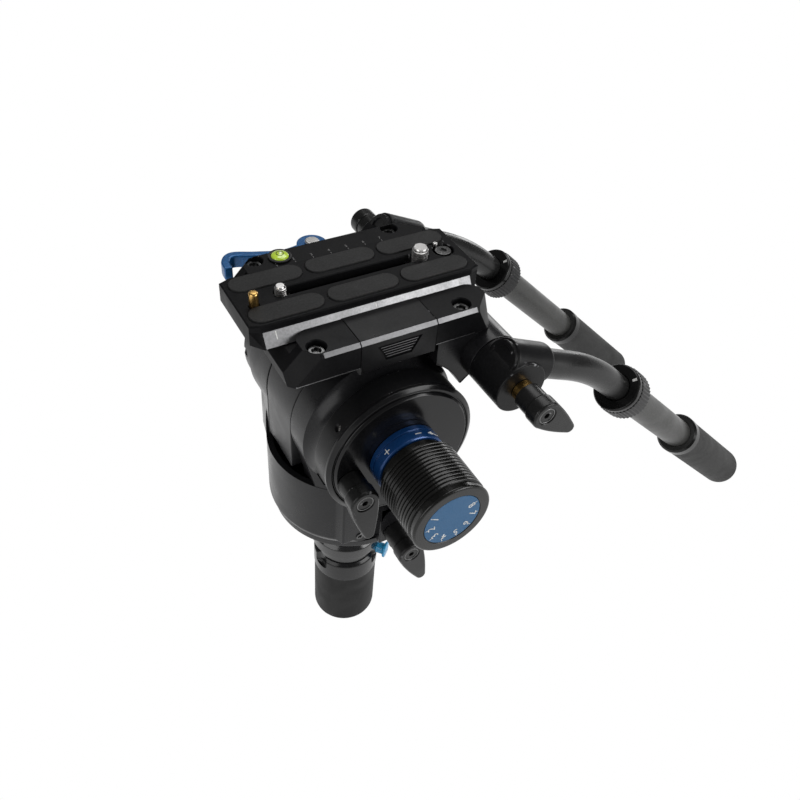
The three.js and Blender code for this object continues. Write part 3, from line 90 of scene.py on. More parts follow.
# Lengths that several sub-assemblies share.
TILT_HEIGHT = 100
TILT_AXIS = (0, 0, TILT_HEIGHT)
SHAFT_HOLE = 10.3
CROSS_ARM = (61.795, 142.2)
JAW_HALF = 49
JAW_TOP = 176.6
JAW_BEVEL = 1.9
SLAB_HALF = 23.25
SLAB_FOOT = 180
PLATE_FOOT = 172.3
LEVER_Y = 57.5

# Films of bare metal: how far they stand out, how deep they reach in and how far they stay off an end.
FILM = 0.06
FILM_DEPTH = 0.3
EDGE_GAP = 0.2

# Faces narrower than this, in millimetres, are rounded edges that can wear.
EDGE_STRIP = 0.5


class Axis(Enum):
    """The directions a turned shape's own height can run in."""

    UP = "up"
    NEAR = "near"
    FAR = "far"
    REAR = "rear"
    DOWN = "down"


class Side(Enum):
    """The two sides of the head, with the sign of Y on each."""

    NEAR = -1
    FAR = 1

    @property
    def word(self) -> str:
        """The side's name as the nodes spell it."""
        return self.name.lower()

    @property
    def outward(self) -> Axis:
        """The axis that points away from the head on this side."""
        return Axis.NEAR if self is Side.NEAR else Axis.FAR


TURNS: dict[Axis, Matrix] = {
    Axis.UP: Matrix.Identity(4),
    Axis.NEAR: Matrix.Rotation(math.pi / 2, 4, "X"),
    Axis.FAR: Matrix.Rotation(-math.pi / 2, 4, "X"),
    Axis.REAR: Matrix.Rotation(math.pi / 2, 4, "Y"),
    Axis.DOWN: Matrix.Rotation(math.pi, 4, "X"),
}


def at(place: Place, axis: Axis = Axis.UP) -> Matrix:
    """A placing matrix: turn the shape's height onto the axis, then move it.

    Args:
        place: Where the shape's own origin goes, in millimetres.
        axis: Where its height points.

    Returns:
        The matrix, in metres.
    """
    return Matrix.Translation(Vector(place) * MM) @ TURNS[axis]


def arc(centre: Point, radius: float, start: float, end: float, steps: int = 12) -> list[Point]:
    """Points along a round arc.

    Args:
        centre: The arc's centre.
        radius: Its radius.
        start: First angle in degrees.
        end: Last angle in degrees.
        steps: How many chords it has.

    Returns:
        The points, both ends included.
    """
    angles = [math.radians(start + (end - start) * i / steps) for i in range(steps + 1)]
    return [(centre[0] + radius * math.cos(a), centre[1] + radius * math.sin(a)) for a in angles]


def sweep(first: Point, pull: Point, last: Point, steps: int = 16) -> list[Point]:
    """Points along a smooth curve that leaves first towards pull and comes into last from it.

    Args:
        first: Where the curve starts.
        pull: The point it bends towards.
        last: Where it ends.
        steps: How many chords it has.

    Returns:
        The points, both ends included.
    """
    points = []
    for i in range(steps + 1):
        t = i / steps
        a, b, c = (1 - t) ** 2, 2 * t * (1 - t), t * t
        points.append(tuple(a * p + b * q + c * r for p, q, r in zip(first, pull, last)))
    return points


def stadium(length: float, width: float, centre: Point = (0, 0)) -> list[Point]:
    """The outline of a slot with round ends along X."""
    reach = length / 2 - width / 2
    right = arc((centre[0] + reach, centre[1]), width / 2, -90, 90, 20)
    return right + arc((centre[0] - reach, centre[1]), width / 2, 90, 270, 20)


def hexagon(radius: float, centre: Point = (0, 0)) -> list[Point]:
    """The outline of a six-sided key hole."""
    return arc(centre, radius, 0, 300, 5)


class Shape:
    """A closed body being shaped, in metres."""

    def __init__(self) -> None:
        """Starts with nothing."""
        self.bm = bmesh.new()

    @classmethod
    def turned(cls, profile: Sequence[Point], place: Matrix = HERE, steps: int = ROUND) -> "Shape":
        """A profile spun about its height axis.

        Args:
            profile: Points of radius and height; it starts and ends on the axis or closes on itself.
            place: Where the shape goes.
            steps: How many sides it has.

        Returns:
            The spun shape.
        """
        shape = cls()
        closed = profile[0] == profile[-1]
        points = profile[:-1] if closed else profile
        verts = [shape.bm.verts.new((r * MM, 0, h * MM)) for r, h in points]
        pairs = list(zip(verts, verts[1:])) + ([(verts[-1], verts[0])] if closed else [])
        edges = [shape.bm.edges.new(pair) for pair in pairs]
        bmesh.ops.spin(shape.bm, geom=verts + edges, cent=(0, 0, 0), axis=(0, 0, 1), angle=math.tau,
                       steps=steps, use_merge=True, use_duplicate=False)
        return shape.mended().moved(place)

    @classmethod
    def ring(cls, inner: float, outer: float, low: float, high: float, place: Matrix = HERE,
             steps: int = ROUND) -> "Shape":
        """A plain ring or, with inner at zero, a disc."""
        if inner <= 0:
            return cls.turned([(0, low), (outer, low), (outer, high), (0, high)], place, steps)
        outline = [(inner, low), (outer, low), (outer, high), (inner, high), (inner, low)]
        return cls.turned(outline, place, steps)

    @classmethod
    def rod(cls, radius: float, low: float, high: float, ease: float, place: Matrix = HERE,
            steps: int = ROUND, chords: int = 3) -> "Shape":
        """A round bar with rounded rims.

        Args:
            radius: Its radius.
            low: Height of its foot.
            high: Height of its top.
            ease: How far each rim's rounding reaches.
            place: Where the bar goes.
            steps: How many sides it has.
            chords: How many chords each rounding has.

        Returns:
            The bar.
        """
        profile = eased([(0, low), (radius, low), (radius, high), (0, high)], ease, chords)
        return cls.turned(profile, place, steps)

    @classmethod
    def prism(cls, outline: Sequence[Point], low: float, high: float, place: Matrix = HERE) -> "Shape":
        """An outline drawn up between two heights.

        Args:
            outline: Corner points, in order.
            low: Height of its foot.
            high: Height of its top.
            place: Where the shape goes.

        Returns:
            The drawn shape.
        """
        shape = cls()
        foot = shape.bm.faces.new([shape.bm.verts.new((x * MM, y * MM, low * MM)) for x, y in outline])
        drawn = bmesh.ops.extrude_face_region(shape.bm, geom=[foot])["geom"]
        raised = [v for v in drawn if isinstance(v, bmesh.types.BMVert)]
        bmesh.ops.translate(shape.bm, verts=raised, vec=(0, 0, (high - low) * MM))
        return shape.mended().moved(place)

    @classmethod
    def box(cls, x: Point, y: Point, z: Point) -> "Shape":
        """A block between two limits on each axis."""
        return cls.prism([(x[0], y[0]), (x[1], y[0]), (x[1], y[1]), (x[0], y[1])], z[0], z[1])

    @classmethod
    def hull(cls, points: Iterable[Place]) -> "Shape":
        """The tight skin round some points."""
        shape = cls()
        verts = [shape.bm.verts.new(Vector(p) * MM) for p in points]
        made = bmesh.ops.convex_hull(shape.bm, input=verts)
        inside = {v for v in made["geom_interior"] + made["geom_unused"] if isinstance(v, bmesh.types.BMVert)}
        bmesh.ops.delete(shape.bm, geom=list(inside), context="VERTS")
        flat = math.radians(0.5)
        bmesh.ops.dissolve_limit(shape.bm, angle_limit=flat, verts=shape.bm.verts[:], edges=shape.bm.edges[:])
        return shape.mended()

    @classmethod
    def tube(cls, points: Sequence[Place], radius: float) -> "Shape":
        """A round bar along a smooth run of points."""
        curve = bpy.data.curves.new("run", "CURVE")
        curve.dimensions = "3D"
        curve.bevel_depth = radius * MM
        curve.bevel_resolution = 14
        curve.use_fill_caps = True
        spline = curve.splines.new("POLY")
        spline.points.add(len(points) - 1)
        for knot, point in zip(spline.points, points):
            knot.co = (*(Vector(point) * MM), 1)
        obj = bpy.data.objects.new("run", curve)
        shape = cls()
        shape.take(obj)
        bpy.data.curves.remove(curve)
        return shape.mended()

    @classmethod
    def words(cls, text: str, size: float, depth: float, place: Matrix) -> "Shape":
        """Raised figures or a sign such as a plus, centred on their place."""
        curve = bpy.data.curves.new("figure", "FONT")
        curve.body = text
        curve.size = size * MM
        curve.extrude = depth * MM / 2
        curve.align_x = "CENTER"
        curve.align_y = "CENTER"
        curve.resolution_u = 3
        obj = bpy.data.objects.new("figure", curve)
        shape = cls()
        shape.take(obj)
        bpy.data.curves.remove(curve)
        return shape.mended().moved(place)

    def take(self, obj: Object) -> None:
        """Reads an object's finished mesh into this shape and removes the object."""
        bpy.context.scene.collection.objects.link(obj)
        bpy.context.view_layer.update()
        graph = bpy.context.evaluated_depsgraph_get()
        mesh = bpy.data.meshes.new_from_object(obj.evaluated_get(graph))
        self.bm.clear()
        self.bm.from_mesh(mesh)
        bpy.data.objects.remove(obj)
        bpy.data.meshes.remove(mesh)

    def mended(self) -> "Shape":
        """Closes seams and poles and turns the faces outwards."""
        bmesh.ops.remove_doubles(self.bm, verts=self.bm.verts[:], dist=1e-6)
        bmesh.ops.dissolve_degenerate(self.bm, dist=1e-7, edges=self.bm.edges[:])
        bmesh.ops.recalc_face_normals(self.bm, faces=self.bm.faces[:])
        return self

    def moved(self, place: Matrix) -> "Shape":
        """Moves the whole shape."""
        self.bm.transform(place)
        if place.determinant() < 0:
            bmesh.ops.reverse_faces(self.bm, faces=self.bm.faces[:])
        return self

    def bent(self, bend: Callable[[Vector], Vector]) -> "Shape":
        """Moves each corner to where a rule puts it."""
        for vert in self.bm.verts:
            vert.co = bend(vert.co)
        return self

    def softened(self, width: float, segments: int = 2, limit: float = 28) -> "Shape":
        """Rounds every edge sharper than a limit.

        Args:
            width: How far the rounding reaches, in millimetres.
            segments: How many strips it has.
            limit: Edges with a smaller turn, in degrees, stay as they are.

        Returns:
            This shape.
        """
        least = math.radians(limit)
        sharp = [e for e in self.bm.edges if len(e.link_faces) == 2 and e.calc_face_angle(0) > least]
        bmesh.ops.bevel(self.bm, geom=sharp, offset=width * MM, offset_type="OFFSET", segments=segments,
                        profile=0.5, affect="EDGES", clamp_overlap=True, material=-1)
        return self

    def to_object(self, name: str) -> Object:
        """A linked object with this shape's mesh."""
        mesh = bpy.data.meshes.new(name)
        self.bm.to_mesh(mesh)
        obj = bpy.data.objects.new(name, mesh)
        bpy.context.scene.collection.objects.link(obj)
        return obj

    def _combined(self, other: "Shape", operation: str) -> "Shape":
        """Applies one join or cut and reads the result back."""
        body, tool = self.to_object("body"), other.to_object("tool")
        step = body.modifiers.new("step", "BOOLEAN")
        step.operation = operation
        step.solver = "MANIFOLD"
        step.object = tool
        bpy.context.view_layer.update()
        graph = bpy.context.evaluated_depsgraph_get()
        mesh = bpy.data.meshes.new_from_object(body.evaluated_get(graph))
        self.bm.clear()
        self.bm.from_mesh(mesh)
        for obj in (body, tool):
            data = obj.data
            bpy.data.objects.remove(obj)
            bpy.data.meshes.remove(data)
        bpy.data.meshes.remove(mesh)
        other.bm.free()
        return self

    def joined(self, *others: "Shape") -> "Shape":
        """Adds other shapes to this one."""
        for other in others:
            self._combined(other, "UNION")
        return self

    def cut(self, *others: "Shape") -> "Shape":
        """Takes other shapes away from this one."""
        for other in others:
            self._combined(other, "DIFFERENCE")
        return self

    def with_parts(self, *others: "Shape") -> "Shape":
        """Puts separate loose shapes into the same mesh."""
        for other in others:
            mesh = bpy.data.meshes.new("part")
            other.bm.to_mesh(mesh)
            self.bm.from_mesh(mesh)
            bpy.data.meshes.remove(mesh)
            other.bm.free()
        return self


def loose(shapes: Sequence[Shape]) -> Shape:
    """Separate shapes in one mesh."""
    return shapes[0].with_parts(*shapes[1:])


def hole(radius: float, floor: float, mouth: float, place: Matrix = HERE, lip: float = 0.35,
         steps: int = 48) -> Shape:
    """A cutter for a round hole with a small chamfer at its mouth.

    Args:
        radius: The hole's radius.
        floor: Height of its floor.
        mouth: Height of the face it opens in.
        place: Where the cutter goes.
        lip: Width of the chamfer.
        steps: How many sides it has.

    Returns:
        The cutter.
    """
    beyond = mouth + OVERRUN
    profile = [(0, floor), (radius, floor), (radius, mouth - lip), (radius + lip, mouth),
               (radius + lip, beyond), (0, beyond)]
    return Shape.turned(profile, place, steps)


def eased(profile: Sequence[Point], radius: float, steps: int = 3) -> list[Point]:
    """A profile with its corners rounded.

    Args:
        profile: Points of radius and height; the first and last stay as they are unless they are one point.
        radius: How far each rounding reaches.
        steps: How many chords each rounding has.

    Returns:
        The rounded profile.
    """
    longest_share, least_reach, nearly_straight = 0.45, 0.01, math.radians(165)
    closed = profile[0] == profile[-1]
    points = [Vector(p) for p in (profile[:-1] if closed else profile)]
    count = len(points)
    made: list[Point] = []
    for i, corner in enumerate(points):
        if not closed and i in (0, count - 1):
            made.append(tuple(corner))
            continue
        before, after = points[i - 1] - corner, points[(i + 1) % count] - corner
        reach = min(radius, before.length * longest_share, after.length * longest_share)
        if reach < least_reach or before.angle(after) > nearly_straight:
            made.append(tuple(corner))
            continue
        first, last = corner + before.normalized() * reach, corner + after.normalized() * reach
        made.extend(sweep(tuple(first), tuple(corner), tuple(last), steps))
    if closed:
        made.append(made[0])
    return made


def lathed(outline: Sequence[Point], ease: float, place: Matrix = HERE, steps: int = ROUND,
           chords: int = 3) -> Shape:
    """A turned shape with its corners rounded."""
    return Shape.turned(eased(outline, ease, chords), place, steps)


def finished(shape: Shape, name: str, corner: float = 32) -> Object:
    """Makes a shape an object, shaded smooth between sharp corners, with its worn edges marked.

    Args:
        shape: The finished shape, which is used up.
        name: The object's name.
        corner: Corners that turn more than this, in degrees, stay sharp.

    Returns:
        The object, at the origin.
    """
    mark = shape.bm.faces.layers.float.new("edge")
    least_turn = math.radians(12)
    for face in shape.bm.faces:
        width = 2 * face.calc_area() / max(face.calc_perimeter(), 1e-9)
        turns = [e.calc_face_angle_signed(0) for e in face.edges if len(e.link_faces) == 2]
        face[mark] = float(width < EDGE_STRIP * MM and max(turns, default=0) > least_turn)
    obj = shape.to_object(name)
    shape.bm.free()
    obj.data.shade_smooth()
    obj.data.set_sharp_from_angle(angle=math.radians(corner))
    even = obj.modifiers.new("even_normals", "WEIGHTED_NORMAL")
    even.keep_sharp = True
    return obj


class Wiring:
    """A node tree while its nodes are placed and linked."""

    def __init__(self, tree: Tree) -> None:
        """Keeps the tree."""
        self.tree = tree

    def node(self, kind: str, values: dict[str, object] | None = None, **settings: object) -> Node:
        """Adds one node.

        Args:
            kind: The node's type, without its ShaderNode prefix.
            values: For each input, a value or the socket that feeds it.
            settings: The node's own properties.

        Returns:
            The node.
        """
        made = self.tree.nodes.new(f"ShaderNode{kind}")
        for key, value in settings.items():
            setattr(made, key, value)
        return self.feed(made, values or {})

    def feed(self, made: Node, values: dict[str, object]) -> Node:
        """Feeds a node's inputs.

        Args:
            made: The node.
            values: For each input, a value or the socket that feeds it.

        Returns:
            The node.
        """
        for key, value in values.items():
            if isinstance(value, Socket):
                self.tree.links.new(value, made.inputs[key])
            else:
                made.inputs[key].default_value = value
        return made

    def math(self, operation: str, *values: object, clamp: bool = False) -> Socket:
        """A sum of one or two values.

        Args:
            operation: The Math node's operation.
            values: Numbers or sockets.
            clamp: Whether the result stays between 0 and 1.

        Returns:
            The result's socket.
        """
        made = self.node("Math", dict(enumerate(values)), operation=operation, use_clamp=clamp)
        return made.outputs[0]

    def blend(self, share: object, first: object, second: object) -> Socket:
        """A colour between two others.

        Args:
            share: How much of the second shows.
            first: A colour or socket.
            second: A colour or socket.

        Returns:
            The blended colour's socket.
        """
        made = self.node("Mix", {0: share, 6: first, 7: second}, data_type="RGBA")
        return made.outputs[2]

    def spread(self, value: object, low: float, high: float, to_low: float,
               to_high: float) -> Socket:
        """A value carried from one range to another.

        Args:
            value: The socket.
            low: The value that becomes to_low.
            high: The value that becomes to_high.
            to_low: Least result.
            to_high: Greatest result.

        Returns:
            The carried value's socket.
        """
        ends = {0: value, 1: low, 2: high, 3: to_low, 4: to_high}
        return self.node("MapRange", ends).outputs[0]


def effect(name: str, inputs: dict[str, float],
           outputs: Sequence[str]) -> tuple[Tree, Wiring, dict]:
    """Starts a shared node group with a vector input and number inputs.

    Args:
        name: The group's name.
        inputs: Each number input with its first value.
        outputs: Names of its number outputs.

    Returns:
        The group, its wiring and the sockets that its inputs give.
    """
    tree = bpy.data.node_groups.new(name, "ShaderNodeTree")
    tree.interface.new_socket(name="Vector", in_out="INPUT", socket_type="NodeSocketVector")
    for key, value in inputs.items():
        given = tree.interface.new_socket(name=key, in_out="INPUT", socket_type="NodeSocketFloat")
        given.default_value = value
    for key in outputs:
        tree.interface.new_socket(name=key, in_out="OUTPUT", socket_type="NodeSocketFloat")
    source = tree.nodes.new("NodeGroupInput")
    return tree, Wiring(tree), {socket.name: socket for socket in source.outputs}


def give(tree: Tree, **results: Socket) -> Tree:
    """Feeds a group's outputs and returns it."""
    sink = tree.nodes.new("NodeGroupOutput")
    for key, socket in results.items():
        tree.links.new(socket, sink.inputs[key])
    return tree


class Effects:
    """The effects that several finishes share, each built once."""

    def __init__(self) -> None:
        """Starts with none built."""
        self.built: dict[str, Tree] = {}
        self.finishes: dict[str, bpy.types.Material] = {}

    def place(self, wires: Wiring, name: str, values: dict[str, object]) -> Node:
        """Puts a shared effect into a material.

        Args:
            wires: The material's wiring.
            name: The effect, which is the name of a method here.
            values: Its inputs.

        Returns:
            The group node.
        """
        if name not in self.built:
            self.built[name] = getattr(self, name)()
        made = wires.tree.nodes.new("ShaderNodeGroup")
        made.node_tree = self.built[name]
        return wires.feed(made, values)

    def grain(self) -> Tree:
        """Fine bead-blasted grain: its height and a soft speckle."""
        tree, wires, given = effect("surface_grain", {"Per metre": 2600}, ("Height", "Speckle"))
        fine = wires.node("TexNoise", {"Vector": given["Vector"], "Scale": given["Per metre"], "Detail": 2})
        coarse_scale = wires.math("MULTIPLY", given["Per metre"], 0.31)
        coarse = wires.node("TexNoise", {"Vector": given["Vector"], "Scale": coarse_scale, "Detail": 3})
        height = wires.math("ADD", fine.outputs[0], wires.math("MULTIPLY", coarse.outputs[0], 0.6))
        return give(tree, Height=height, Speckle=wires.spread(coarse.outputs[0], 0.35, 0.68, 0, 1))

    def handling(self) -> Tree:
        """Soft marks that hands and cloths leave, and fine dust."""
        tree, wires, given = effect("handling", {"Per metre": 38}, ("Smear", "Dust"))
        smear = wires.node("TexNoise", {"Vector": given["Vector"], "Scale": given["Per metre"], "Detail": 5,
                                        "Distortion": 1.2})
        dust = wires.node("TexNoise", {"Vector": given["Vector"], "Scale": 5200, "Detail": 1})
        patch = wires.spread(smear.outputs[0], 0.42, 0.7, 0, 1)
        specks = wires.spread(dust.outputs[0], 0.7, 0.82, 0, 1)
        return give(tree, Smear=wires.spread(smear.outputs[0], 0.3, 0.7, 0, 1),
                    Dust=wires.math("MULTIPLY", specks, patch))

    def edge_wear(self) -> Tree:
        """Where the finish is rubbed off along the rounded edges."""
        tree, wires, given = effect("edge_wear", {"Amount": 0.5}, ("Mask",))
        strip = wires.node("Attribute", attribute_name="edge", attribute_type="GEOMETRY")
        rubs = wires.node("TexNoise", {"Vector": given["Vector"], "Scale": 240, "Detail": 6,
                                       "Roughness": 0.62})
        bar = wires.spread(given["Amount"], 0, 1, 0.75, 0.3)
        above = wires.math("SUBTRACT", rubs.outputs[0], bar)
        shown = wires.math("MULTIPLY", above, 7, clamp=True)
        return give(tree, Mask=wires.math("MULTIPLY", shown, strip.outputs["Fac"]))

    def tool_lines(self) -> Tree:
        """Fine rings that a lathe leaves round the Z axis of the given vector."""
        tree, wires, given = effect("tool_lines", {"Per metre": 5200}, ("Height",))
        parts = wires.node("SeparateXYZ", {0: given["Vector"]})
        square = wires.math("ADD", *(wires.math("POWER", parts.outputs[i], 2) for i in (0, 1)))
        reach = wires.math("ADD", wires.math("SQRT", square), parts.outputs[2])
        lines = wires.node("TexNoise", {"W": reach, "Scale": given["Per metre"], "Detail": 2},
                           noise_dimensions="1D")
        return give(tree, Height=lines.outputs[0])

    def brushing(self) -> Tree:
        """Straight fine lines along X."""
        tree, wires, given = effect("brushing", {"Per metre": 2400}, ("Height",))
        drawn = wires.node("Mapping", {"Vector": given["Vector"], "Scale": (0.02, 1, 1)})
        lines = wires.node("TexNoise", {"Vector": drawn.outputs[0], "Scale": given["Per metre"], "Detail": 3})
        return give(tree, Height=lines.outputs[0])

    def diamonds(self) -> Tree:
        """Small raised diamonds in the XY plane."""
        tree, wires, given = effect("diamonds", {"Pitch": 0.00085}, ("Height",))
        parts = wires.node("SeparateXYZ", {0: given["Vector"]})
        waves = []
        for operation in ("ADD", "SUBTRACT"):
            lean = wires.math(operation, parts.outputs[0], parts.outputs[1])
            turn = wires.math("MULTIPLY", wires.math("DIVIDE", lean, given["Pitch"]), math.pi)
            waves.append(wires.math("ABSOLUTE", wires.math("SINE", turn)))
        return give(tree, Height=wires.math("MULTIPLY", *waves))

    def knurl(self) -> Tree:
        """Fine ridges that run along the Z axis, counted round it."""
        tree, wires, given = effect("knurl", {"Ridges": 90}, ("Height",))
        parts = wires.node("SeparateXYZ", {0: given["Vector"]})
        angle = wires.math("ARCTAN2", parts.outputs[1], parts.outputs[0])
        wave = wires.math("SINE", wires.math("MULTIPLY", angle, given["Ridges"]))
        return give(tree, Height=wires.spread(wave, -1, 1, 0, 1))


class Relief(Enum):
    """A pattern in the surface besides its grain, named after its effect."""

    NONE = ""
    TURNED = "tool_lines"
    BRUSHED = "brushing"
    DIAMONDS = "diamonds"
    KNURLED = "knurl"


@dataclass(frozen=True)
class Finish:
    """One surface finish. Colours are linear, lengths millimetres."""

    name: str
    slot: str
    colour: Place
    worn: Place = (0.35, 0.35, 0.36)
    metallic: float = 0.0
    roughness: float = 0.4
    specular: float = 0.5
    unevenness: float = 0.08
    grains: float = 2.6
    grain_height: float = 0.012
    wear: float = 0.35
    dust: float = 0.12
    speckle: float = 1.0
    relief: Relief = Relief.NONE
    relief_height: float = 0.0
    centre: Place = (0, 0, 0)
    axis: Axis = Axis.UP
    coat: float = 0.0

    def material(self, effects: Effects) -> bpy.types.Material:
        """Builds the finish's material, or gives the one already built.

        Args:
            effects: The shared effects.

        Returns:
            The material.
        """
        if self.name in effects.finishes:
            return effects.finishes[self.name]
        material = bpy.data.materials.new(f"look_{self.name}")
        effects.finishes[self.name] = material
        material.use_nodes = True
        wires = Wiring(material.node_tree)
        surface = material.node_tree.nodes["Principled BSDF"]
        place = wires.node("TexCoord").outputs["Object"]
        grain = effects.place(wires, "grain", {"Vector": place, "Per metre": self.grains / MM})
        marks = effects.place(wires, "handling", {"Vector": place})
        wear = effects.place(wires, "edge_wear", {"Vector": place, "Amount": self.wear})
        self.tint(wires, surface, grain, marks, wear)
        height = wires.math("MULTIPLY", grain.outputs["Height"], self.grain_height * MM)
        if self.relief is not Relief.NONE:
            pattern = effects.place(wires, self.relief.value, {"Vector": self.centred(wires, place)})
            raised = wires.math("MULTIPLY", pattern.outputs[0], self.relief_height * MM)
            height = wires.math("ADD", height, raised)
        bump = wires.node("Bump", {"Height": height, "Distance": 1.0, "Strength": 0.8})
        wires.tree.links.new(bump.outputs[0], surface.inputs["Normal"])
        surface.inputs["Metallic"].default_value = self.metallic
        surface.inputs["Specular IOR Level"].default_value = self.specular
        surface.inputs["Coat Weight"].default_value = self.coat
        surface.inputs["Coat Roughness"].default_value = 0.12
        return material

    def centred(self, wires: Wiring, place: Socket) -> Socket:
        """The place seen from the pattern's own centre, with its axis along Z.

        Args:
            wires: The material's wiring.
            place: The object's coordinates.

        Returns:
            The pattern's coordinates.
        """
        back = TURNS[self.axis].inverted().to_euler()
        moved = wires.node("VectorMath", {0: place, 1: tuple(-c * MM for c in self.centre)}, operation="ADD")
        return wires.node("Mapping", {"Vector": moved.outputs[0], "Rotation": tuple(back)}).outputs[0]

    def tint(self, wires: Wiring, surface: Node, grain: Node, marks: Node,
             wear: Node) -> None:
        """Feeds the shader's colour and roughness.

        Args:
            wires: The material's wiring.
            surface: The shader.
            grain: The grain effect.
            marks: The handling effect.
            wear: The edge wear effect.
        """
        lighter = tuple(min(1, c * (1 + 0.35 * self.speckle)) for c in self.colour)
        darker = tuple(c * (1 - 0.18 * self.speckle) for c in self.colour)
        base = wires.blend(grain.outputs["Speckle"], (*darker, 1), (*lighter, 1))
        dust = wires.math("MULTIPLY", marks.outputs["Dust"], self.dust)
        dusty = wires.blend(dust, base, (0.45, 0.45, 0.44, 1))
        worn = wires.blend(wear.outputs["Mask"], dusty, (*self.worn, 1))
        wires.tree.links.new(worn, surface.inputs["Base Color"])
        low, high = self.roughness - self.unevenness, self.roughness + self.unevenness
        rough = wires.spread(marks.outputs["Smear"], 0, 1, low, high)
        rubbed = wires.math("SUBTRACT", rough, wires.math("MULTIPLY", wear.outputs["Mask"], 0.1), clamp=True)
        wires.tree.links.new(rubbed, surface.inputs["Roughness"])


@dataclass(frozen=True)
class ClearLiquid(Finish):
    """Tinted liquid seen through a clear dome, with a painted glow: it emits a little of its own colour."""

    def tint(self, wires: Wiring, surface: Node, grain: Node, marks: Node,
             wear: Node) -> None:
        """Feeds the shader's colour and roughness, and a faint emission of its colour as a painted glow that
        makes it brighter.

        Args:
            wires: The material's wiring.
            surface: The shader.
            grain: The grain effect.
            marks: The handling effect.
            wear: The edge wear effect, which is not used here.
        """
        deep = tuple(c * 0.8 for c in self.colour)
        wires.tree.links.new(wires.blend(grain.outputs["Speckle"], (*deep, 1), (*self.colour, 1)),
                             surface.inputs["Base Color"])
        rough = wires.spread(marks.outputs["Smear"], 0, 1, self.roughness, self.roughness + self.unevenness)
        wires.tree.links.new(rough, surface.inputs["Roughness"])
        # Painted glow: the liquid and the bubble emit a little of their own colour, though neither is a lamp.
        surface.inputs["Emission Color"].default_value = (*self.colour, 1)
        surface.inputs["Emission Strength"].default_value = 0.12


ANODISED = Finish("black_anodised", "black_anodised", (0.006, 0.006, 0.0065), roughness=0.34, specular=0.16,
                  wear=0.3)
PLATE_TOP = Finish("plate_anodised", "black_anodised", (0.0055, 0.0055, 0.006), roughness=0.42,
                   specular=0.07, wear=0.45, grain_height=0.016)
HOUSING = Finish("housing_anodised", "black_anodised", (0.01, 0.01, 0.011), roughness=0.3, specular=0.24,
                 wear=0.15, grain_height=0.01)
BALL = Finish("ball_anodised", "black_anodised", (0.009, 0.009, 0.01), roughness=0.34, specular=0.35,
              wear=0.3, grain_height=0.008, relief=Relief.TURNED, relief_height=0.002)
JAW = Finish("jaw_anodised", "black_anodised", (0.0045, 0.0045, 0.005), roughness=0.38, specular=0.1,
             wear=0.2, grain_height=0.012)
BURNISHED = Finish("burnished_edge", "steel", (0.22, 0.22, 0.225), metallic=1.0, roughness=0.4,
                   grain_height=0.0, wear=0.0, speckle=0.3, relief=Relief.BRUSHED, relief_height=0.0006,
                   dust=0.0)
SLOPE = Finish("rubbed_slope", "steel", (0.24, 0.24, 0.245), metallic=1.0, roughness=0.42, grain_height=0.0,
               wear=0.0, speckle=0.5, relief=Relief.BRUSHED, relief_height=0.001, dust=0.0)
POLISHED = Finish("polished_black", "gloss_black", (0.005, 0.005, 0.0055), roughness=0.18, specular=0.28,
                  unevenness=0.05, wear=0.0, grain_height=0.002, relief=Relief.TURNED, relief_height=0.0012,
                  centre=TILT_AXIS, axis=Axis.NEAR)
POLISHED_UP = Finish("polished_black_upright", "gloss_black", (0.014, 0.014, 0.0145), roughness=0.16,
                     unevenness=0.05, wear=0.1, grain_height=0.002, relief=Relief.TURNED,
                     relief_height=0.0012, coat=0.15)
COLLAR_BLACK = Finish("collar_black", "charcoal", (0.008, 0.008, 0.0085), roughness=0.2, specular=0.3,
                      unevenness=0.05, wear=0.1, grain_height=0.003)
LEVER_BLACK = Finish("lever_black", "gloss_black", (0.008, 0.008, 0.008), roughness=0.3, specular=0.26,
                     unevenness=0.06, wear=0.3, grain_height=0.006)
LEVER_CAP = Finish("lever_cap_edge", "steel", (0.16, 0.16, 0.16), metallic=1.0, roughness=0.38, speckle=0.0,
                   grain_height=0.002, wear=0.0)
KNOB_BLACK = Finish("knob_black", "gloss_black", (0.006, 0.006, 0.0055), roughness=0.22, specular=0.32,
                    wear=0.0, unevenness=0.05, grain_height=0.002, relief=Relief.KNURLED,
                    relief_height=0.014, centre=TILT_AXIS, axis=Axis.NEAR)
CHARCOAL = Finish("charcoal", "charcoal", (0.014, 0.014, 0.0145), roughness=0.4, specular=0.25, wear=0.3)
BLACK_TUBE = Finish("black_tube", "black_tube", (0.01, 0.01, 0.01), roughness=0.28, specular=0.35,
                    grain_height=0.004, wear=0.1)
GREY_TUBE = Finish("grey_tube", "grey_tube", (0.042, 0.042, 0.04), metallic=0.1, roughness=0.36,
                   specular=0.4, grain_height=0.006, wear=0.0)
END_CAP = Finish("end_cap_black", "gloss_black", (0.006, 0.006, 0.006), roughness=0.22, specular=0.3,
                 unevenness=0.05, wear=0.15, grain_height=0.003)
BLUE = Finish("blue_anodised", "blue_anodised", (0.006, 0.045, 0.16), speckle=0.3, metallic=0.35,
              roughness=0.26, worn=(0.15, 0.3, 0.5), grain_height=0.004, wear=0.25)
LEVER_BLUE = Finish("lever_blue", "blue_anodised", (0.015, 0.1, 0.27), metallic=0.3, roughness=0.34,
                    worn=(0.2, 0.35, 0.55), grain_height=0.006, wear=0.25)
BUTTON_BLUE = Finish("button_blue", "blue_anodised", (0.03, 0.28, 0.52), roughness=0.25, grain_height=0.004,
                     worn=(0.4, 0.6, 0.75), wear=0.2)
PALE_BLUE = Finish("pale_blue", "pale_blue", (0.042, 0.125, 0.25), speckle=0.15, roughness=0.5,
                   specular=0.2, grain_height=0.006, wear=0.0, dust=0.06)
STEEL = Finish("bright_steel", "steel", (0.6, 0.59, 0.58), metallic=1.0, roughness=0.3, speckle=0.0,
               worn=(0.7, 0.7, 0.7), grain_height=0.001, wear=0.0, dust=0.0)
